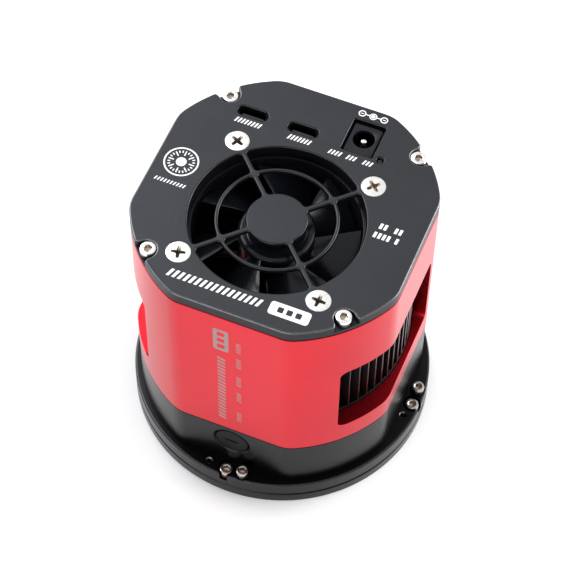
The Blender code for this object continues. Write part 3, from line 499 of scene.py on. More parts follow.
LOOKS = {
    "cover": surface("dark_blasted_anodise", (0.043, 0.0445, 0.050), 0.46, 0.9, 3600, 0.22, 0.10, 60),
    # lighter colour on the cover's outer chamfers: painted highlight
    "edge": surface("edge_painted_highlight", (0.13, 0.13, 0.138), 0.24, 1.0, 2600, 0.20, 0.05, 160, spread=0.05),
    "guard": surface("blasted_guard_edge", (0.036, 0.037, 0.041), 0.22, 1.0, 3000, 0.20, 0.05, 120,
                     spread=0.05),
    # lighter colour on the flange's top chamfer: painted highlight
    "rim": surface("rim_painted_highlight", (0.040, 0.040, 0.043), 0.26, 1.0, 2600, 0.20, 0.05, 160, spread=0.05),
    "pit": surface("unlit_hole_wall", (0.004, 0.004, 0.005), 0.55, 0.2, 3000, 0.3, 0.10, 200,
                   specular=0.15),
    "body": surface("black_blasted_anodise", (0.0115, 0.0115, 0.0125), 0.30, 0.97, 4600, 0.16, 0.05, 60,
                    coat=0.05, spread=0.05),
    # darker colour on the cover's outer side walls and notch walls: painted shade
    "dark": surface("cover_wall_painted_shade", (0.014, 0.014, 0.016), 0.40, 0.8, 3000, 0.2, 0.06, 90,
                    spread=0.05),
    "plug": surface("black_turned_plug", (0.004, 0.004, 0.0055), 0.46, 0.8, 3000, 0.2, 0.06, 90, spread=0.05),
    "sink": surface("black_fin_anodise", (0.009, 0.009, 0.010), 0.45, 0.9, 2500, 0.2, 0.06, 80,
                    stretch=(0.1, 1, 1)),
    "fin_end": surface("lighter_fin_end", (0.10, 0.095, 0.10), 0.34, 1.0, 2200, 0.2, 0.05, 200,
                       stretch=(1, 1, 0.2)),
    "red": surface("red_blasted_anodise", (0.63, 0.016, 0.028), 0.30, 1.0, 5200, 0.06, 0.05, 40, coat=0.08,
                   spread=0.04),
    "steel": surface("turned_steel", (0.90, 0.885, 0.85), 0.30, 1.0, 1500, 0.05, 0.03, 300, spread=0.04,
                     stretch=(1, 1, 6)),
    "tapped": surface("bare_tapped_hole", (0.12, 0.12, 0.13), 0.28, 1.0, 1500, 0.15, 0.05, 300, spread=0.05),
    # darker brownish steel in sockets and cross recesses: painted shade
    "recess": surface("recess_painted_shade_steel", (0.48, 0.42, 0.36), 0.30, 1.0, 1400, 0.2, 0.06, 500),
    "shadowed": surface("shadowed_steel", (0.09, 0.085, 0.08), 0.35, 1.0, 1500, 0.1, 0.04, 300),
    # darker steel for the tilt screws: painted reflection of the black flange round them
    "tilt_steel": surface("tilt_steel_painted_reflection", (0.50, 0.47, 0.44), 0.20, 1.0, 1500, 0.06, 0.03, 300,
                          spread=0.04),
    "brass": surface("turned_brass", (0.72, 0.50, 0.20), 0.30, 1.0, 1800, 0.12, 0.05, 300),
    "gold": surface("plated_gold", (0.86, 0.62, 0.25), 0.25, 1.0, 2600, 0.10, 0.04, 500),
    "copper": surface("machined_copper", (0.78, 0.38, 0.24), 0.32, 1.0, 1500, 0.15, 0.06, 200,
                      stretch=(1, 5, 1)),
    "rubber": surface("black_rubber", (0.016, 0.016, 0.017), 0.72, 0.0, 5000, 0.3, 0.2, 200),
    "foam": surface("black_foam", (0.020, 0.020, 0.021), 0.95, 0.0, 2200, 0.6, 0.9, 200, specular=0.2),
    "ceramic": surface("alumina", (0.78, 0.75, 0.68), 0.5, 0.0, 3500, 0.06, 0.15, 200),
    "package": surface("sensor_ceramic", (0.10, 0.085, 0.10), 0.45, 0.0, 3500, 0.2, 0.2, 200),
    "silicon": surface("sensor_silicon", (0.16, 0.10, 0.22), 0.10, 0.75, 9000, 0.12, 0.05, 160, coat=0.6,
                       spread=0.03),
    "board": surface("solder_mask", (0.010, 0.085, 0.040), 0.35, 0.0, 1600, 0.30, 0.2, 260, coat=0.3),
    "chip": surface("moulded_chip", (0.022, 0.022, 0.024), 0.55, 0.0, 6000, 0.3, 0.3, 300),
    "flex": surface("polyimide", (0.52, 0.26, 0.04), 0.35, 0.0, 2000, 0.2, 0.1, 200, coat=0.4),
    "fan": surface("fan_plastic", (0.005, 0.0055, 0.0075), 0.22, 0.0, 900, 0.2, 0.004, 60, spread=0.03,
                   specular=0.28),
    "frame": surface("fan_frame_plastic", (0.004, 0.004, 0.006), 0.34, 0.0, 1100, 0.2, 0.004, 60, spread=0.04,
                     specular=0.22),
    "magnet": surface("bonded_magnet", (0.045, 0.040, 0.038), 0.6, 0.2, 3000, 0.3, 0.3, 200),
    "plastic": surface("connector_plastic", (0.010, 0.010, 0.014), 0.36, 0.0, 2400, 0.25, 0.06, 200,
                       specular=0.25),
    # near-black steel inside the ports: painted shade
    "socket": surface("port_steel_painted_shade", (0.012, 0.012, 0.013), 0.28, 1.0, 1700, 0.2, 0.05, 300),
    "lead": lead_look("sleeved_lead"),
    "print": surface("pad_print", (0.90, 0.90, 0.90), 0.6, 0.0, 5000, 0.04, 0.1, 300),
    "etch": surface("laser_mark", (0.33, 0.23, 0.22), 0.45, 0.75, 3800, 0.12, 0.1, 300),
    "tablet": surface("desiccant_tablet", (0.84, 0.79, 0.70), 0.9, 0.0, 1800, 0.15, 0.6, 300),
    "winding": surface("enamelled_wire", (0.62, 0.24, 0.10), 0.35, 0.9, 900, 0.35, 0.5, 300,
                       stretch=(1, 1, 5)),
}


def glass_look():
    made, nodes, links, shader = node_tools("coated_glass")
    coords = nodes.new("ShaderNodeTexCoord").outputs["Object"]
    broad = noise(nodes, links, coords, 60.0, 2.0)
    tint = ramp(nodes, links, broad.outputs["Fac"], [(0.3, (0.80, 0.95, 0.92)), (0.7, (0.90, 0.93, 0.99))])
    links.new(tint.outputs["Color"], shader.inputs["Base Color"])
    rough = span(nodes, links, noise(nodes, links, coords, 900.0).outputs["Fac"], 0.01, 0.03)
    links.new(rough.outputs["Result"], shader.inputs["Roughness"])
    put(shader, {"Transmission Weight": 1.0, "IOR": 1.5})
    return made


LOOKS["glass"] = glass_look()


# ------------------------------------------------------------------ top cover

def make_cover():
    """The cover with its guard bars, the thicker plate under them and the ledge under the screw notches."""
    jack = middle("dc_jack")
    light = middle("status_light_pipe")
    small = [slot(c.x, c.y, 4.5, 1.62) for c in map(middle, USB_PORTS)]
    small.append(rounded_box(jack.x, jack.y, 4.75, 5.75, 0.7))
    small.append(circle(light.x, light.y, 0.95, 24))
    fillet = 1.0
    windows = []
    for quarter in range(4):
        windows.append(turn(guard_window(GUARD_RING[1], OPENING_R, fillet, 26), 90 * quarter, FAN.x, FAN.y))
        windows.append(turn(guard_window(GUARD_HUB, GUARD_RING[0], fillet, 18), 90 * quarter, FAN.x, FAN.y))
    top = plate("cover_top", [body_outline(0, True), *windows, *small], BAR_LOW, FACE, 0.42, 2)
    for _, c in numbered("fan_screw"):
        sink = [(0, 1), (4.62, 1), (1.9, -1.75), (1.9, -4), (0, -4)]
        cut(top, lathe("sink", sink, 48, at(c.x, c.y, FACE)))
    small += [circle(c.x, c.y, 2.6, 24) for _, c in numbered("fan_screw")]
    rims = [body_outline(0.02, True), circle(FAN.x, FAN.y, OPENING_R + 0.02, 96)]
    lower = plate("cover_low", rims + small, COVER_LOW, COVER_HIGH - 0.45, 0.25)
    rims = [body_outline(0.04), circle(0, 0, 36.5, 96)]
    ledge = plate("cover_ledge", rims, COVER_LOW + 0.01, NOTCH_FLOOR, 0.2)
    item = merge("cover_plate", top, lower, ledge)
    piece(item, "cover", ["top_cover"])

    def outside(c):
        return max(abs(c.x), abs(c.y), (abs(c.x) + abs(c.y)) / 1.4) > 38

    def top_edge(c, n):
        return 0.2 < n.z < 0.985 and c.z > FACE - 0.6

    # The cover's outer chamfers get a lighter colour, a painted highlight.
    second(item, "edge", lambda c, n: top_edge(c, n) and outside(c))
    second(item, "guard", lambda c, n: top_edge(c, n) and not outside(c))
    # Upright walls: the outer sides and notches get a darker colour and the walls inside the openings a
    # near-black one, both painted shade.
    second(item, "dark", lambda c, n: abs(n.z) < 0.2 and outside(c))
    second(item, "pit", lambda c, n: abs(n.z) < 0.2 and not outside(c))


# ------------------------------------------------------------------ shell, front body and tilt plate

def make_shell():
    """The red shell with its two air windows and the bores for the cover's screws."""
    bore_r = 38.2
    shell = plate("shell", [body_outline(), circle(0, 0, bore_r, 128)], SHELL_LOW, SHELL_HIGH, 0.22, 1)
    low, high, near_y, far_y = WINDOW
    half_y, half_z = (far_y - near_y) / 2, (high - low) / 2
    outline = rounded_box((near_y + far_y) / 2, (low + high) / 2, half_y, half_z, 2.0, 8)
    for near, far in ((18, 50), (-50, -18)):
        cutter = plate("window", [outline], near, far)
        cutter.data.transform(ALONG_X)
        cut(shell, cutter)

    def on_window(edge):
        for vertex in edge.verts:
            x, y, z = vertex.co / MM
            in_window = near_y - 0.01 < y < far_y + 0.01 and low - 0.01 < z < high + 0.01
            if not in_window or math.hypot(x, y) < bore_r + 0.7:
                return False
        return True

    soften(shell, 0.42, on_window, 3)
    for corner in CORNERS:
        x, y = turn([(CORNER_SCREW_OUT, 0)], corner)[0]
        cut(shell, lathe("bore", [(0, 90), (1.4, 90), (1.4, 80), (0, 80)], 20, at(x, y)))
    piece(shell, "red", ["main_shell"])


def make_front_body():
    """The turned flange and chamber, the walls round them, and every pocket and bore."""
    r = FLANGE_R
    flange = [
        (31.0, SPIGOT_TOP), (31.8, SPIGOT_TOP), (31.8, 29.4), (33.6, 29.4), (33.6, SPIGOT_TOP),
        (37.6, SPIGOT_TOP), (37.6, FLANGE_TOP - 0.5), (37.9, FLANGE_TOP), (r - 0.62, FLANGE_TOP),
        (r - 0.25, FLANGE_TOP - 0.12), (r, FLANGE_TOP - 0.5), (r, FLANGE_LOW + 0.25),
        (r - 0.25, FLANGE_LOW), (34.0, FLANGE_LOW), (34.0, 6.0), (31.0, 6.0), (31.0, FLANGE_LOW),
        (27.3, FLANGE_LOW), (27.0, FLANGE_LOW + 0.3), (27.0, 8.6), (23.2, 8.6), (23.0, 8.8), (23.0, 10.4),
        (23.2, 10.6), (31.0, 10.6)]
    body = lathe("front_body", flange, 160)
    walls = plate("walls", [body_outline(0.1), circle(0, 0, 35.0, 96)], FLANGE_TOP - 0.6, BODY_TOP, 0.2, 1)
    cut(body, walls, operation="UNION")
    above = FLANGE_TOP + 5.6
    floor = PULL_POCKET_FLOOR
    pocket = [(0, above), (2.75, above), (2.75, floor + 0.2), (2.55, floor), (0, floor)]
    for _, c in numbered("tilt_pull_screw"):
        cut(body, lathe("pocket", pocket, 32, at(c.x, c.y)))
    bore = [(0, above), (2.3, above), (2.3, FLANGE_TOP - 0.1), (2.05, FLANGE_TOP - 0.35), (2.05, 3), (0, 3)]
    for _, c in numbered("tilt_push_screw"):
        cut(body, lathe("bore", bore, 28, at(c.x, c.y)))
    for corner in CORNERS:
        x, y = turn([(CORNER_SCREW_OUT, 0)], corner)[0]
        cut(body, lathe("head_hole", [(0, 7.2), (2.5, 7.2), (2.5, 3), (0, 3)], 28, at(x, y)))
        x, y = turn([(27.0, 0)], corner)[0]
        boss = [(0, 20.0), (2.0, 20.0), (2.2, 19.8), (2.2, 10.2), (0, 10.2)]
        cut(body, lathe("boss", boss, 24, at(x, y)), operation="UNION")
    plug_hole = [(0, 44), (5.9, 44), (5.9, FLAT - 0.05), (5.4, FLAT - 0.5), (5.4, 37.7), (4.4, 37.7),
                 (4.4, 29.5), (0, 29.5)]
    cut(body, lathe("plug_hole", plug_hole, 64, PLUG_LINE))
    small = [(0, above), (1.15, above), (1.15, FLANGE_TOP), (0.85, FLANGE_TOP - 0.3), (0.85, 6.6), (0, 6.0)]
    for x, y in SMALL_HOLES:
        cut(body, lathe("small_hole", small, 24, at(x, y)))
    piece(body, "body", ["front_body"])

    def in_small_hole(c, n):
        return abs(n.z) < 0.9 and any(math.hypot(c.x - x, c.y - y) < 1.25 for x, y in SMALL_HOLES)

    def top_chamfer(c, n):
        at_rim = FLANGE_TOP - 0.6 < c.z < FLANGE_TOP and math.hypot(c.x, c.y) > FLANGE_R - 0.7
        return at_rim and 0.2 < n.z < 0.97

    second(body, "tapped", in_small_hole)
    # The flange's top chamfer gets a lighter colour, a painted highlight.
    second(body, "rim", top_chamfer)


def make_tilt_plate():
    """The lower disc, its telescope thread drawn as rings."""
    r = FLANGE_R
    bore = THREAD_R
    pitch = 0.75
    profile = [(r - 0.3, TILT_TOP), (r, TILT_TOP - 0.3), (r, 0.55), (r - 0.16, 0.16), (r - 0.55, 0.0),
               (bore + 0.8, 0.0)]
    z = 0.45
    while z < TILT_TOP - 0.6:
        profile += [(bore + 0.06, z), (bore + 0.42, z + 0.37)]
        z += pitch
    profile += [(bore + 0.1, TILT_TOP - 0.35), (bore + 0.4, TILT_TOP)]
    item = lathe("tilt_plate_detail", profile, 192)
    hole = [(0, 6), (1.4, 6), (1.4, 0.3), (1.75, -0.05), (1.75, -2), (0, -2)]
    for _, c in numbered("tilt_pull_screw"):
        cut(item, lathe("hole", hole, 24, at(c.x, c.y)))
    piece(item, "body", ["tilt_plate"], "tilt_plate")


# ------------------------------------------------------------------ fasteners

def hexagon(angle):
    """Scales a radius so that a circle becomes a hexagon."""
    wedge = (angle + math.pi / 6) % (math.pi / 3) - math.pi / 6
    return math.cos(math.pi / 6) / math.cos(wedge) * 1.08


def cap_head(name, radius, high, length, shank, socket, depth):
    """Socket cap screw, seat at zero, with a chamfered head, a chamfered hexagon socket and cut threads."""
    profile = [(0, high - depth - socket * 0.35), (socket * 0.92, high - depth), (socket * 0.98, high - 0.16),
               (socket * 1.2, high), (radius - 0.42, high), (radius - 0.14, high - 0.1),
               (radius, high - 0.38), (radius, high - 0.95), (radius, 0.12), (radius - 0.12, 0), (shank, 0)]
    z = -0.4
    while z > -length + 0.6:
        profile += [(shank, z), (shank - 0.2, z - 0.22)]
        z -= 0.45
    profile += [(shank, -length + 0.3), (shank - 0.3, -length), (0, -length)]
    steps = 36
    work = bmesh.new()
    rings = [ring(work, r, z, steps, hexagon) if i in (1, 2) else ring(work, r, z, steps)
             for i, (r, z) in enumerate(profile)]
    for row, faces in enumerate(skin(work, rings, steps)):
        # The socket's faces take the second material, a darker brownish steel that is painted shade, and the
        # head's lower side the third, a dark steel that is painted shade and painted reflection of the
        # flange.
        in_socket = row < 2
        low_on_head = 7 <= row < 10
        for face in faces:
            face.material_index = 1 if in_socket else 2 if low_on_head else 0
    return mesh_of(work, name)


def place_screws(mesh, look, places):
    """One screw for each (name, matrix), standing for the CAD node of that name."""
    mesh.shade_smooth()
    mesh.set_sharp_from_angle(angle=math.radians(28))
    # After the screw's own steel: the socket's painted shade, then the lower side's painted shade.
    for finish in (look, "recess", "shadowed"):
        mesh.materials.append(LOOKS[finish])
    for name, matrix in places:
        own = mesh.copy()
        own.transform(matrix)
        item = link(name + "_detail", own)
        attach(item, "camera")
        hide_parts(name)


def cap_screws(node, radius, length, socket, spins, head_down=False):
    """M2.5 screws at the CAD nodes of that name, each turned by its own angle."""
    mesh = cap_head(node, radius, HEAD_HIGH, length, M25_R, socket, SOCKET_DEPTH)
    places = []
    for i, spin in enumerate(spins, 1):
        low, high = mm_box(f"{node}_{i}")
        x, y, _ = (low + high) / 2
        if head_down:
            matrix = at(x, y, low.z + HEAD_HIGH, spin) @ Matrix.Rotation(math.pi, 4, "X")
        else:
            matrix = at(x, y, high.z - HEAD_HIGH, spin)
        places.append((f"{node}_{i}", matrix))
    place_screws(mesh, "steel", places)


def tilt_screws(node, mesh, seat):
    spins = (8, 20, 33, 47)
    places = [(name, at(c.x, c.y, seat, spin)) for (name, c), spin in zip(numbered(node), spins)]
    # These heads use a darker steel, a painted reflection of the black flange round them.
    place_screws(mesh, "tilt_steel", places)


def make_fasteners():
    cap_screws("cover_screw", 2.28, 8.5, 1.16, (12, 40, 5, 22))
    cap_screws("shell_screw", 2.25, 25.5, 1.02, (17, 34, 51, 68), head_down=True)
    cap_screws("heat_sink_screw", 2.25, 13.5, 1.02, (31, 62))

    low, high = mm_box("tilt_pull_screw_1")
    seat = PULL_POCKET_FLOOR + GAP
    tilt_screws("tilt_pull_screw", cap_head("pull", 2.0, high.z - seat, seat - low.z, M25_R, 1.06, 1.5), seat)

    low, high = mm_box("tilt_push_screw_1")
    tip = 0.3
    tilt_screws("tilt_push_screw", cap_head("push", 1.85, high.z - low.z, tip, 1.2, 1.0, 2.0), low.z + tip)
    make_fan_screws()


def make_fan_screws():
    """Countersunk screws with a cross recess that narrows downwards."""
    profile = [(0, 0.0), (3.0, 0.0), (3.42, -0.05), (3.55, -0.22), (3.5, -0.4), (1.75, -2.1)]
    z = -2.6
    while z > -11:
        profile += [(1.72, z), (1.45, z - 0.28)]
        z -= 0.56
    profile += [(1.5, -11.6), (1.2, -12.0), (0, -12.0)]
    cross = []
    for k in range(4):
        cross += turn([(2.5, -0.5), (2.62, 0), (2.5, 0.5), (0.72, 0.72)], 90 * k)
    narrowing = 0.42
    for (name, (x, y, _)), spin in zip(numbered("fan_screw"), (13, -4, 48, 66)):
        top = mm_box(name)[1].z
        head = lathe(name + "_detail", profile, 64)
        recess = plate("recess", [cross], -1.5, 0.8)
        for vertex in recess.data.vertices:
            if vertex.co.z < 0:
                vertex.co.x *= narrowing
                vertex.co.y *= narrowing
        cut(head, recess)
        head.data.transform(at(x, y, top, spin))
        piece(head, "steel", [name], degrees=28)

        def in_recess(c, n):
            return math.hypot(c.x - x, c.y - y) < 2.75 and top - 1.6 < c.z < top - 0.02

        # The cross recess gets a darker brownish steel, painted shade.
        second(head, "recess", in_recess)


# ------------------------------------------------------------------ fan

def make_fan_frame():
    """The frame's walls with a rounded inlet lip, the hub that carries the bearing, and four struts."""
    half = mm_box("fan_frame")[1].x
    holes = [circle(c.x, c.y, 2.12, 28) for _, c in numbered("fan_screw")]
    tube = [rounded_box(FAN.x, FAN.y, half, half, 4.3, 8), circle(FAN.x, FAN.y, FAN_BORE_R, 120), *holes]
    walls = plate("fan_walls", tube, FAN_LOW, FAN_HIGH, 0.25, 1)
    r = FAN_BORE_R
    inlet = [(r + 0.75, FAN_HIGH - 0.02), (r + 0.4, FAN_HIGH - 0.02), (r + 0.02, FAN_HIGH - 0.7),
             (r - 0.1, FAN_HIGH - 1.6), (r + 0.1, FAN_HIGH - 1.6)]
    lip = lathe("lip", inlet, 120, at(FAN.x, FAN.y))
    floor = FAN_LOW + 1.1
    hub = [(2.35, 82.0), (2.8, 82.0), (3.1, 81.7), (3.1, floor), (10.1, floor), (10.4, floor - 0.3),
           (10.4, FAN_LOW + 0.3), (10.1, FAN_LOW), (0, FAN_LOW), (0, floor), (2.35, floor)]
    boss = lathe("hub", hub, 64, at(FAN.x, FAN.y))
    parts = [walls, lip, boss]
    for quarter in range(4):
        arm = plate("arm", [rounded_box(16.9, 0, 7.5, 1.1, 0.2, 2)], FAN_LOW, floor - 0.04, 0.25, 2)
        arm.matrix_world = at(FAN.x, FAN.y, 0, STRUT_ANGLE + 90 * quarter)
        parts.append(arm)
    item = merge("fan_frame_detail", *parts)
    piece(item, "frame", ["fan_frame"])


def blade(index):
    """A cambered blade with a round leading edge and a thin trailing edge."""
    chord_steps = 22
    radial_steps = 14
    root = HUB_R - 0.3
    tip_zone = 0.15             # share of the blade over which its tip thins
    work = bmesh.new()
    upper = []
    lower = []
    for j in range(radial_steps + 1):
        outward = j / radial_steps
        radius = root + outward * (TIP_R - root)
        start = BLADE_START + BLADE_SWEEP * outward + BLADE_BOW * math.sin(math.pi * outward)
        width = BLADE_SPAN[0] - BLADE_SPAN[1] * outward
        in_tip = max(0.0, outward - (1 - tip_zone)) / tip_zone
        upper.append([])
        lower.append([])
        for i in range(chord_steps + 1):
            along = i / chord_steps
            angle = math.radians(index * 360 / BLADES + start - width * along)
            height = ROTOR_HIGH - 1.0 - BLADE_DROP * along ** 1.15
            half = 0.10 + 0.42 * math.sqrt(max(0.0, 4 * along * (1 - along))) * (1 - 0.35 * along)
            half *= 1 - in_tip ** 2 * 0.15
            x = radius * math.cos(angle)
            y = radius * math.sin(angle)
            upper[j].append(work.verts.new(Vector((x, y, height + half)) * MM))
            lower[j].append(work.verts.new(Vector((x, y, height - half)) * MM))
    for j in range(radial_steps):
        for i in range(chord_steps):
            work.faces.new([upper[j][i], upper[j][i + 1], upper[j + 1][i + 1], upper[j + 1][i]])
            work.faces.new([lower[j][i], lower[j + 1][i], lower[j + 1][i + 1], lower[j][i + 1]])
        for i in (0, chord_steps):
            work.faces.new([upper[j][i], upper[j + 1][i], lower[j + 1][i], lower[j][i]])
    for i in range(chord_steps):
        for j in (0, radial_steps):
            work.faces.new([upper[j][i], lower[j][i], lower[j][i + 1], upper[j][i + 1]])
    bmesh.ops.recalc_face_normals(work, faces=work.faces)
    return link("blade", mesh_of(work, "blade"), at(FAN.x, FAN.y))


def make_rotor():
    """The hub, a cup with a rounded rim, and its blades."""
    rim = HUB_R
    top = ROTOR_HIGH
    profile = [(0, top), (8.0, top), (8.4, top - 0.12), (8.8, top - 0.12)]
    profile += [(rim - 1.5 + 1.5 * math.sin(math.radians(a)), top - 1.5 + 1.5 * math.cos(math.radians(a)))
                for a in (10, 25, 40, 55, 70, 82)]
    profile += [(rim, top - 1.6), (rim, ROTOR_LOW + 0.2), (rim - 0.15, ROTOR_LOW), (rim - 0.6, ROTOR_LOW),
                (rim - 0.6, top - 1.5), (rim - 1.2, top - 1.8), (0, top - 1.8)]
    hub = lathe("hub", profile, 112, at(FAN.x, FAN.y))
    item = merge("fan_rotor_detail", hub, *[blade(index) for index in range(BLADES)])
    piece(item, "fan", ["fan_rotor"], "fan_rotor", 40)


# ------------------------------------------------------------------ heat sink

def fin_reach(y):
    """How far along X a fin goes before its corners leave the round base."""
    return math.sqrt(SINK_R ** 2 - (abs(y) + FIN_HALF) ** 2)


def make_heat_sink():
    """The round base with its screw holes and the sensor ribbon's slot, and the fins."""
    bolted = ("heat_sink_screw_1", "heat_sink_screw_2", "board_standoff_1", "board_standoff_2")
    holes = [circle(c.x, c.y, 1.4, 24) for c in map(middle, bolted)]
    ribbon = rounded_box(0, 29.6, 6.6, 0.45, 0.3, 3)
    parts = [plate("sink_base", [circle(0, 0, SINK_R, 144), ribbon, *holes], SINK_LOW, SINK_BASE_TOP, 0.3)]
    for i in range(FIN_COUNT):
        y = (i - (FIN_COUNT - 1) / 2) * FIN_PITCH
        outline = rounded_box(0, y, fin_reach(y) - 0.1, FIN_HALF, 0.16, 2)
        parts.append(plate("fin", [outline], SINK_BASE_TOP - 0.5, FIN_TOP, 0.14))
    item = merge("heat_sink_detail", *parts)
    piece(item, "sink", ["heat_sink"])

    def fin_end(c, n):
        return c.z > SINK_BASE_TOP and abs(c.x) > fin_reach(c.y) - 0.3

    # The fins' outer ends get a lighter colour.
    second(item, "fin_end", fin_end)


# ------------------------------------------------------------------ sockets and boards

def make_usb(name):
    """A USB-C socket: drawn steel shell on a base, with a tongue and twelve contacts on each side of it."""
    low, high = mm_box(name)
    c = (low + high) / 2
    foot = 82.0
    walls = [slot(c.x, c.y, 4.4, 1.55, 14), slot(c.x, c.y, 4.12, 1.28, 14)]
    shell = plate("shell", walls, foot, high.z, 0.06, 1)
    base = plate("base", [rounded_box(c.x, c.y, 4.7, 2.2, 0.3, 3)], low.z, foot + 0.2, 0.15, 1)
    floor = plate("floor", [slot(c.x, c.y, 4.2, 1.35, 14)], foot, foot + 1)
    tongue = plate("tongue", [rounded_box(c.x, c.y, 3.35, 0.35, 0.2, 3)], foot + 0.4, foot + 6, 0.1, 1)
    item = merge(name + "_detail", shell, base, floor)
    # The socket's steel shell is near-black, painted shade inside the port.
    piece(item, "socket", [name])
    piece(merge(name + "_tongue", tongue), "chip")
    pads = []
    for side in (-1, 1):
        for k in range(12):
            x = c.x + (k - 5.5) * 0.5
            pad = rounded_box(x, c.y + side * 0.36, 0.13, 0.03, 0.02, 1)
            pads.append(plate("pad", [pad], foot + 2.5, foot + 5.7))
    piece(merge(name + "_contacts", *pads), "gold")


def make_jack():
    """A barrel jack: square body, round opening, contact spring in three leaves, and centre pin."""
    low, high = mm_box("dc_jack")
    c = (low + high) / 2
    half_x, half_y, _ = (high - low) / 2
    pin = middle("dc_jack_pin")
    mouth = [rounded_box(c.x, c.y, half_x - 0.3, half_y - 0.3, 0.8, 6), circle(pin.x, pin.y, 3.15, 64)]
    rim = plate("jack", mouth, high.z - 9.9, 88.8, 0.16, 1)
    body = plate("jack_body", [rounded_box(c.x, c.y, half_x, half_y, 1.0, 4)], low.z, high.z - 9.6, 0.1, 1)
    piece(merge("dc_jack_detail", rim, body), "plastic", ["dc_jack"])
    waist = [(3.1, 88.0), (2.95, 88.1), (2.85, 87.4), (2.6, 84.0), (2.85, 81.0), (3.05, 81.0), (3.1, 84.0)]
    sleeve = lathe("spring", waist, 48, at(pin.x, pin.y))
    for k in range(3):
        gap = plate("gap", [rounded_box(3, 0, 3, 0.35, 0.1, 2)], 81.5, 90)
        gap.matrix_world = at(pin.x, pin.y, 0, 30 + 120 * k)
        cut(sleeve, gap)
    sleeve.name = "dc_jack_spring"
    # The contact spring uses the same near-black steel, painted shade inside the jack.
    piece(sleeve, "socket")
    profile = [(0, 88.2), (0.35, 88.17), (0.72, 87.95), (0.92, 87.55), (1.0, 87.0), (1.0, 79.3), (0, 79.3)]
    item = lathe("dc_jack_pin_detail", profile, 32, at(pin.x, pin.y))
    piece(item, "steel", ["dc_jack_pin"])


def make_plug():
    """The desiccant plug, drawn along +Z and laid along its line, with a screwdriver slot."""
    face = -mm_box("desiccant_plug")[0].y
    profile = [(0, face - 0.15), (4.5, face - 0.15), (4.62, face), (4.9, face - 0.04), (5.1, face - 0.3),
               (5.1, 38.0), (4.1, 38.0), (4.1, 36.4), (3.7, 36.4), (3.7, 35.4), (4.1, 35.4), (4.1, 31.8),
               (3.9, 31.5), (3.1, 31.5), (3.1, 37.4), (0, 37.4)]
    item = lathe("desiccant_plug_detail", profile, 72, PLUG_LINE)
    groove = plate("slot", [rounded_box(0, 0, 2.2, 0.3, 0.28, 6)], face - 1.0, face + 1)
    groove.data.transform(PLUG_LINE)
    cut(item, groove)
    piece(item, "plug", ["desiccant_plug"], "desiccant_plug")


def small_box(x, y, z, hx, hy, high):
    outline = rounded_box(x, y, hx, hy, min(hx, hy) * 0.2, 2)
    return plate("part", [outline], z, z + high, min(hx, hy, high) * 0.12)


def make_board_parts():
    """Chips and passives under the main board, where the windows let them be seen."""
    under = mm_box("main_board")[0].z
    chips = [small_box(x, y, under - 1.0, hx, hy, 0.95)
             for x, y, hx, hy in ((-30, 12, 3.5, 3.5), (30, 12, 3.0, 2.2), (-31, -8, 2.4, 4.0),
                                  (31, -9, 2.2, 2.2), (-13, 29, 3.0, 2.5))]
    piece(merge("board_chips", *chips), "chip")
    passives = []
    for k in range(9):
        passives.append(small_box(-33 + 0.6 * (k % 2), -2 + 1.6 * k, under - 0.6, 0.5, 0.3, 0.55))
        passives.append(small_box(33 - 0.6 * (k % 2), -3 + 1.6 * k, under - 0.6, 0.5, 0.3, 0.55))
    piece(merge("board_passives", *passives), "copper")


def make_sensor():
    """Contacts and bond wires round the sensor die."""
    die_edge = mm_box("sensor_die")[1].y
    count = 32
    pitch = 0.72
    contact_y = 9.2
    contact_low, contact_high = 18.46, 18.58
    wire_low, wire_rise = 17.5, 0.95        # a wire's start on the die, and how far it climbs to its contact
    sag = 0.6                   # the wires bow towards the telescope side
    wires = []
    pads = []
    for side in (-1, 1):
        for k in range(count):
            x = (k - (count - 1) / 2) * pitch
            near = side * (die_edge - 0.25)
            far = side * contact_y
            pads.append(plate("pad", [rounded_box(x, far, 0.2, 0.25, 0.05, 1)], contact_low, contact_high))
            curve = bpy.data.curves.new("wire", "CURVE")
            curve.dimensions = "3D"
            curve.bevel_depth = 0.03 * MM
            curve.bevel_resolution = 0
            spline = curve.splines.new("POLY")
            spline.points.add(4)
            for point, t in zip(spline.points, (0, 0.25, 0.5, 0.75, 1)):
                y = near + (far - near) * t
                z = wire_low + wire_rise * t - sag * math.sin(math.pi * t)
                point.co = (x * MM, y * MM, z * MM, 1)
            source = link("wire", curve)
            mesh = baked(source)
            bpy.data.objects.remove(source)
            wires.append(link("wire", mesh))
    piece(merge("sensor_bond_wires", *wires, *pads), "gold")


# ------------------------------------------------------------------ generic marks

def ink(name, outlines, look, low, high, matrix=Matrix()):
    """Thin raised marks, each a closed outline or a list of outlines with its holes."""
    parts = []
    for outline in outlines:
        loops = outline if isinstance(outline[0], list) else [outline]
        parts.append(plate("ink", loops, low, high))
    item = merge(name, *parts)
    item.data.transform(matrix)
    piece(item, look)


def bar(x0, x1, y, half):
    return rounded_box((x0 + x1) / 2, y, (x1 - x0) / 2, half, half * 0.95, 4)


def hatch(x0, x1, y, half, width=0.62, pitch=1.25, lean=0.35):
    """A band of slanted bars that stands for a printed line and carries no letters."""
    band = []
    x = x0
    while x + width <= x1 + 0.01:
        shift = half * lean
        band.append([(x - shift, y - half), (x + width - shift, y - half), (x + width + shift, y + half),
                     (x + shift, y + half)])
        x += pitch
    return band


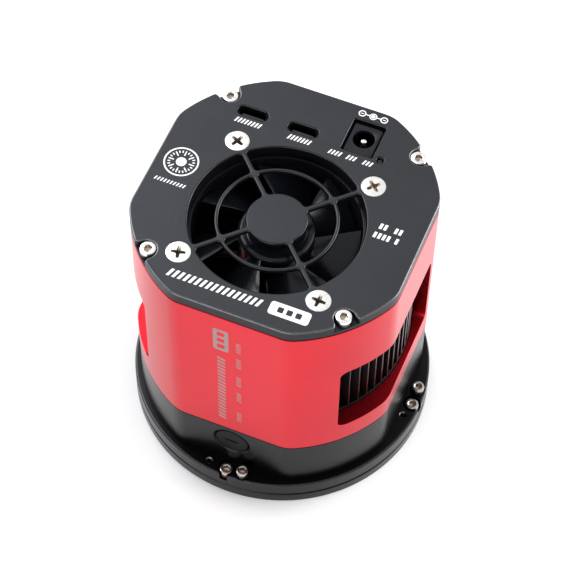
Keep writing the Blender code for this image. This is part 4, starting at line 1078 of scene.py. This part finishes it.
def polarity(x, y):
    """Plain sign of a round plug: outer ring, centre dot, and a ring at each end of a line."""
    reach = 3.3
    signs = [circle(x, y, 0.62, 24), [circle(x, y, 1.12, 32), circle(x, y, 0.86, 32)]]
    for side in (-1, 1):
        end = x + side * reach
        signs.append([circle(end, y, 1.1, 32), circle(end, y, 0.78, 32)])
        signs.append(bar(x + side * 1.66 - 0.62, x + side * 1.66 + 0.62, y, 0.15))
        signs.append(bar(end - 0.45, end + 0.45, y, 0.13))
    return signs


def dial(x, y):
    """A plain ring of ticks round a dot."""
    signs = [[circle(x, y, 5.0, 72), circle(x, y, 4.55, 72)], circle(x, y, 1.5, 40)]
    for k in range(24):
        length = 0.8 if k % 3 else 1.7
        signs.append(turn(bar(3.9 - length, 3.9, 0, 0.17), 15 * k, x, y))
    return signs


def make_marks():
    """Marks by the ports, left of the fan, along the front edge, right of the fan, and on the shell."""
    marks = polarity(11.7, 37.1) + dial(-32.0, 1.6)
    for x0, x1 in ((-23.9, -15.7), (-7.8, -1.0)):
        marks += hatch(x0, x1, 21.5, 0.85, 0.5, 1.0)
    for x0, x1 in ((4.6, 8.8), (10.0, 13.2), (14.9, 17.4)):
        marks += hatch(x0, x1, 21.1, 0.8, 0.5, 1.0)
    marks += hatch(-36.6, -27.2, -6.0, 0.6, 0.42, 0.95)
    marks += hatch(-20.2, 7.4, -33.4, 1.25, 0.85, 1.62)
    for x0, x1, y in ((26.9, 29.6, 2.6), (31.3, 34.4, 2.6), (26.3, 31.4, -0.6), (32.6, 34.2, -0.6)):
        marks += hatch(x0, x1, y, 0.95, 0.8, 1.3, 0.1)
    label = [rounded_box(14.9, -33.3, 5.8, 2.1, 0.9, 6)]
    label += [rounded_box(14.9 + 2.6 * k, -33.3, 0.85, 0.9, 0.3, 4) for k in (-1, 0, 1)]
    marks.append(label)
    ink("cover_marks", marks, "print", FACE - 0.01, COVER_HIGH)

    label = [rounded_box(-2.6, 75.0, 2.3, 5.2, 0.8, 5)]
    label += [rounded_box(-2.6, 75.0 + 3.0 * k, 1.1, 0.95, 0.3, 4) for k in (-1, 0, 1)]
    lines = hatch(33.5, 67.5, 2.6, 1.15, 0.9, 1.75)
    for start in (34.5, 45.5, 54.0, 63.5, 71.5):
        lines += hatch(start, start + 5.2, -2.6, 0.7, 0.6, 1.3)
    on_front = Matrix.Translation((0, -FLAT * MM, 0)) @ TOWARDS_FRONT
    ink("shell_marks", [label] + [turn(line, 90) for line in lines], "etch", -0.01, 0.01, on_front)


# ------------------------------------------------------------------ carried-over CAD nodes

CARRIED = {
    "foam": ("tilt_light_seal", "insulation"),
    "body": ("window_retainer",),
    "glass": ("protect_window", "sensor_cover_glass", "status_light_pipe"),
    "rubber": ("window_seal", "chamber_seal", "desiccant_seal"),
    "package": ("image_sensor",),
    "silicon": ("sensor_die",),
    "board": ("sensor_board", "main_board", "fan_circuit"),
    "copper": ("cold_finger",),
    "ceramic": ("peltier_cooler",),
    "brass": ("board_standoff_1", "board_standoff_2", "fan_bearing"),
    "flex": ("sensor_flex",),
    "plastic": ("flex_connector",),
    "winding": ("fan_stator",),
    "lead": ("fan_lead",),
    "magnet": ("fan_magnet",),
    "steel": ("fan_shaft",),
    "tablet": ("desiccant_tablet",),
}


def dress_carried():
    for look, nodes in CARRIED.items():
        for node in nodes:
            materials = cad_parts[node].data.materials
            materials.clear()
            materials.append(LOOKS[look])


# ------------------------------------------------------------------ light and camera

def area(name, place, target, size, power, colour=(1, 1, 1)):
    light = bpy.data.lights.new(name, "AREA")
    light.shape = "RECTANGLE"
    light.size, light.size_y = size
    light.energy = power
    light.color = colour
    item = bpy.data.objects.new(name, light)
    item.location = place
    item.rotation_mode = "QUATERNION"
    item.rotation_quaternion = (Vector(target) - Vector(place)).to_track_quat("-Z", "Y")
    bpy.context.scene.collection.objects.link(item)


def make_studio():
    """A pale floor, a bright even world and four soft lights. Places are in metres here."""
    floor_mesh = bpy.data.meshes.new("floor")
    size = 6.0
    corners = [(-size, -size, 0), (size, -size, 0), (size, size, 0), (-size, size, 0)]
    floor_mesh.from_pydata(corners, [], [(0, 1, 2, 3)])
    floor = link("floor", floor_mesh)
    made, _, _, shader = node_tools("pale_floor")
    put(shader, {"Base Color": (0.93, 0.93, 0.935, 1), "Roughness": 0.7})
    floor_mesh.materials.append(made)

    world = bpy.data.worlds.new("studio")
    world.use_nodes = True
    put(world.node_tree.nodes["Background"], {"Color": (0.97, 0.985, 1.0, 1), "Strength": 0.88})
    scene = bpy.context.scene
    scene.world = world
    scene.view_settings.view_transform = "Standard"
    scene.view_settings.look = "None"
    area("key", (0.75, 0.42, 0.42), (0, 0, 0.05), (0.7, 0.7), 7.0)
    area("side", (-0.60, 0.30, 0.75), (0, 0, 0.05), (0.6, 0.6), 5.0)
    area("front", (-0.15, -0.9, 0.35), (0, 0, 0.04), (0.8, 0.4), 3.0)
    area("floor_wash", (0.55, 0.65, 0.22), (0.14, 0.24, 0.0), (0.4, 0.3), 3.5)


def make_camera():
    data = bpy.data.cameras.new("camera")
    data.lens = 136.68
    data.sensor_width = 36.0
    data.clip_start = 0.01
    data.clip_end = 30.0
    item = bpy.data.objects.new("view_camera", data)
    right = Vector((0.925400, 0.378797, 0.012191))
    down = Vector((0.322152, -0.769259, -0.551778))
    forward = Vector((-0.199634, 0.514542, -0.833902))
    rotation = Matrix((right, -down, -forward)).transposed().to_4x4()
    item.matrix_world = Matrix.Translation(Vector((129.649, -329.516, 581.451)) * MM) @ rotation
    bpy.context.scene.collection.objects.link(item)
    bpy.context.scene.camera = item


make_cover()
make_shell()
make_front_body()
make_tilt_plate()
make_fasteners()
make_fan_frame()
make_rotor()
make_heat_sink()
for port in USB_PORTS:
    make_usb(port)
make_jack()
make_plug()
make_board_parts()
make_sensor()
make_marks()
dress_carried()
make_studio()
make_camera()
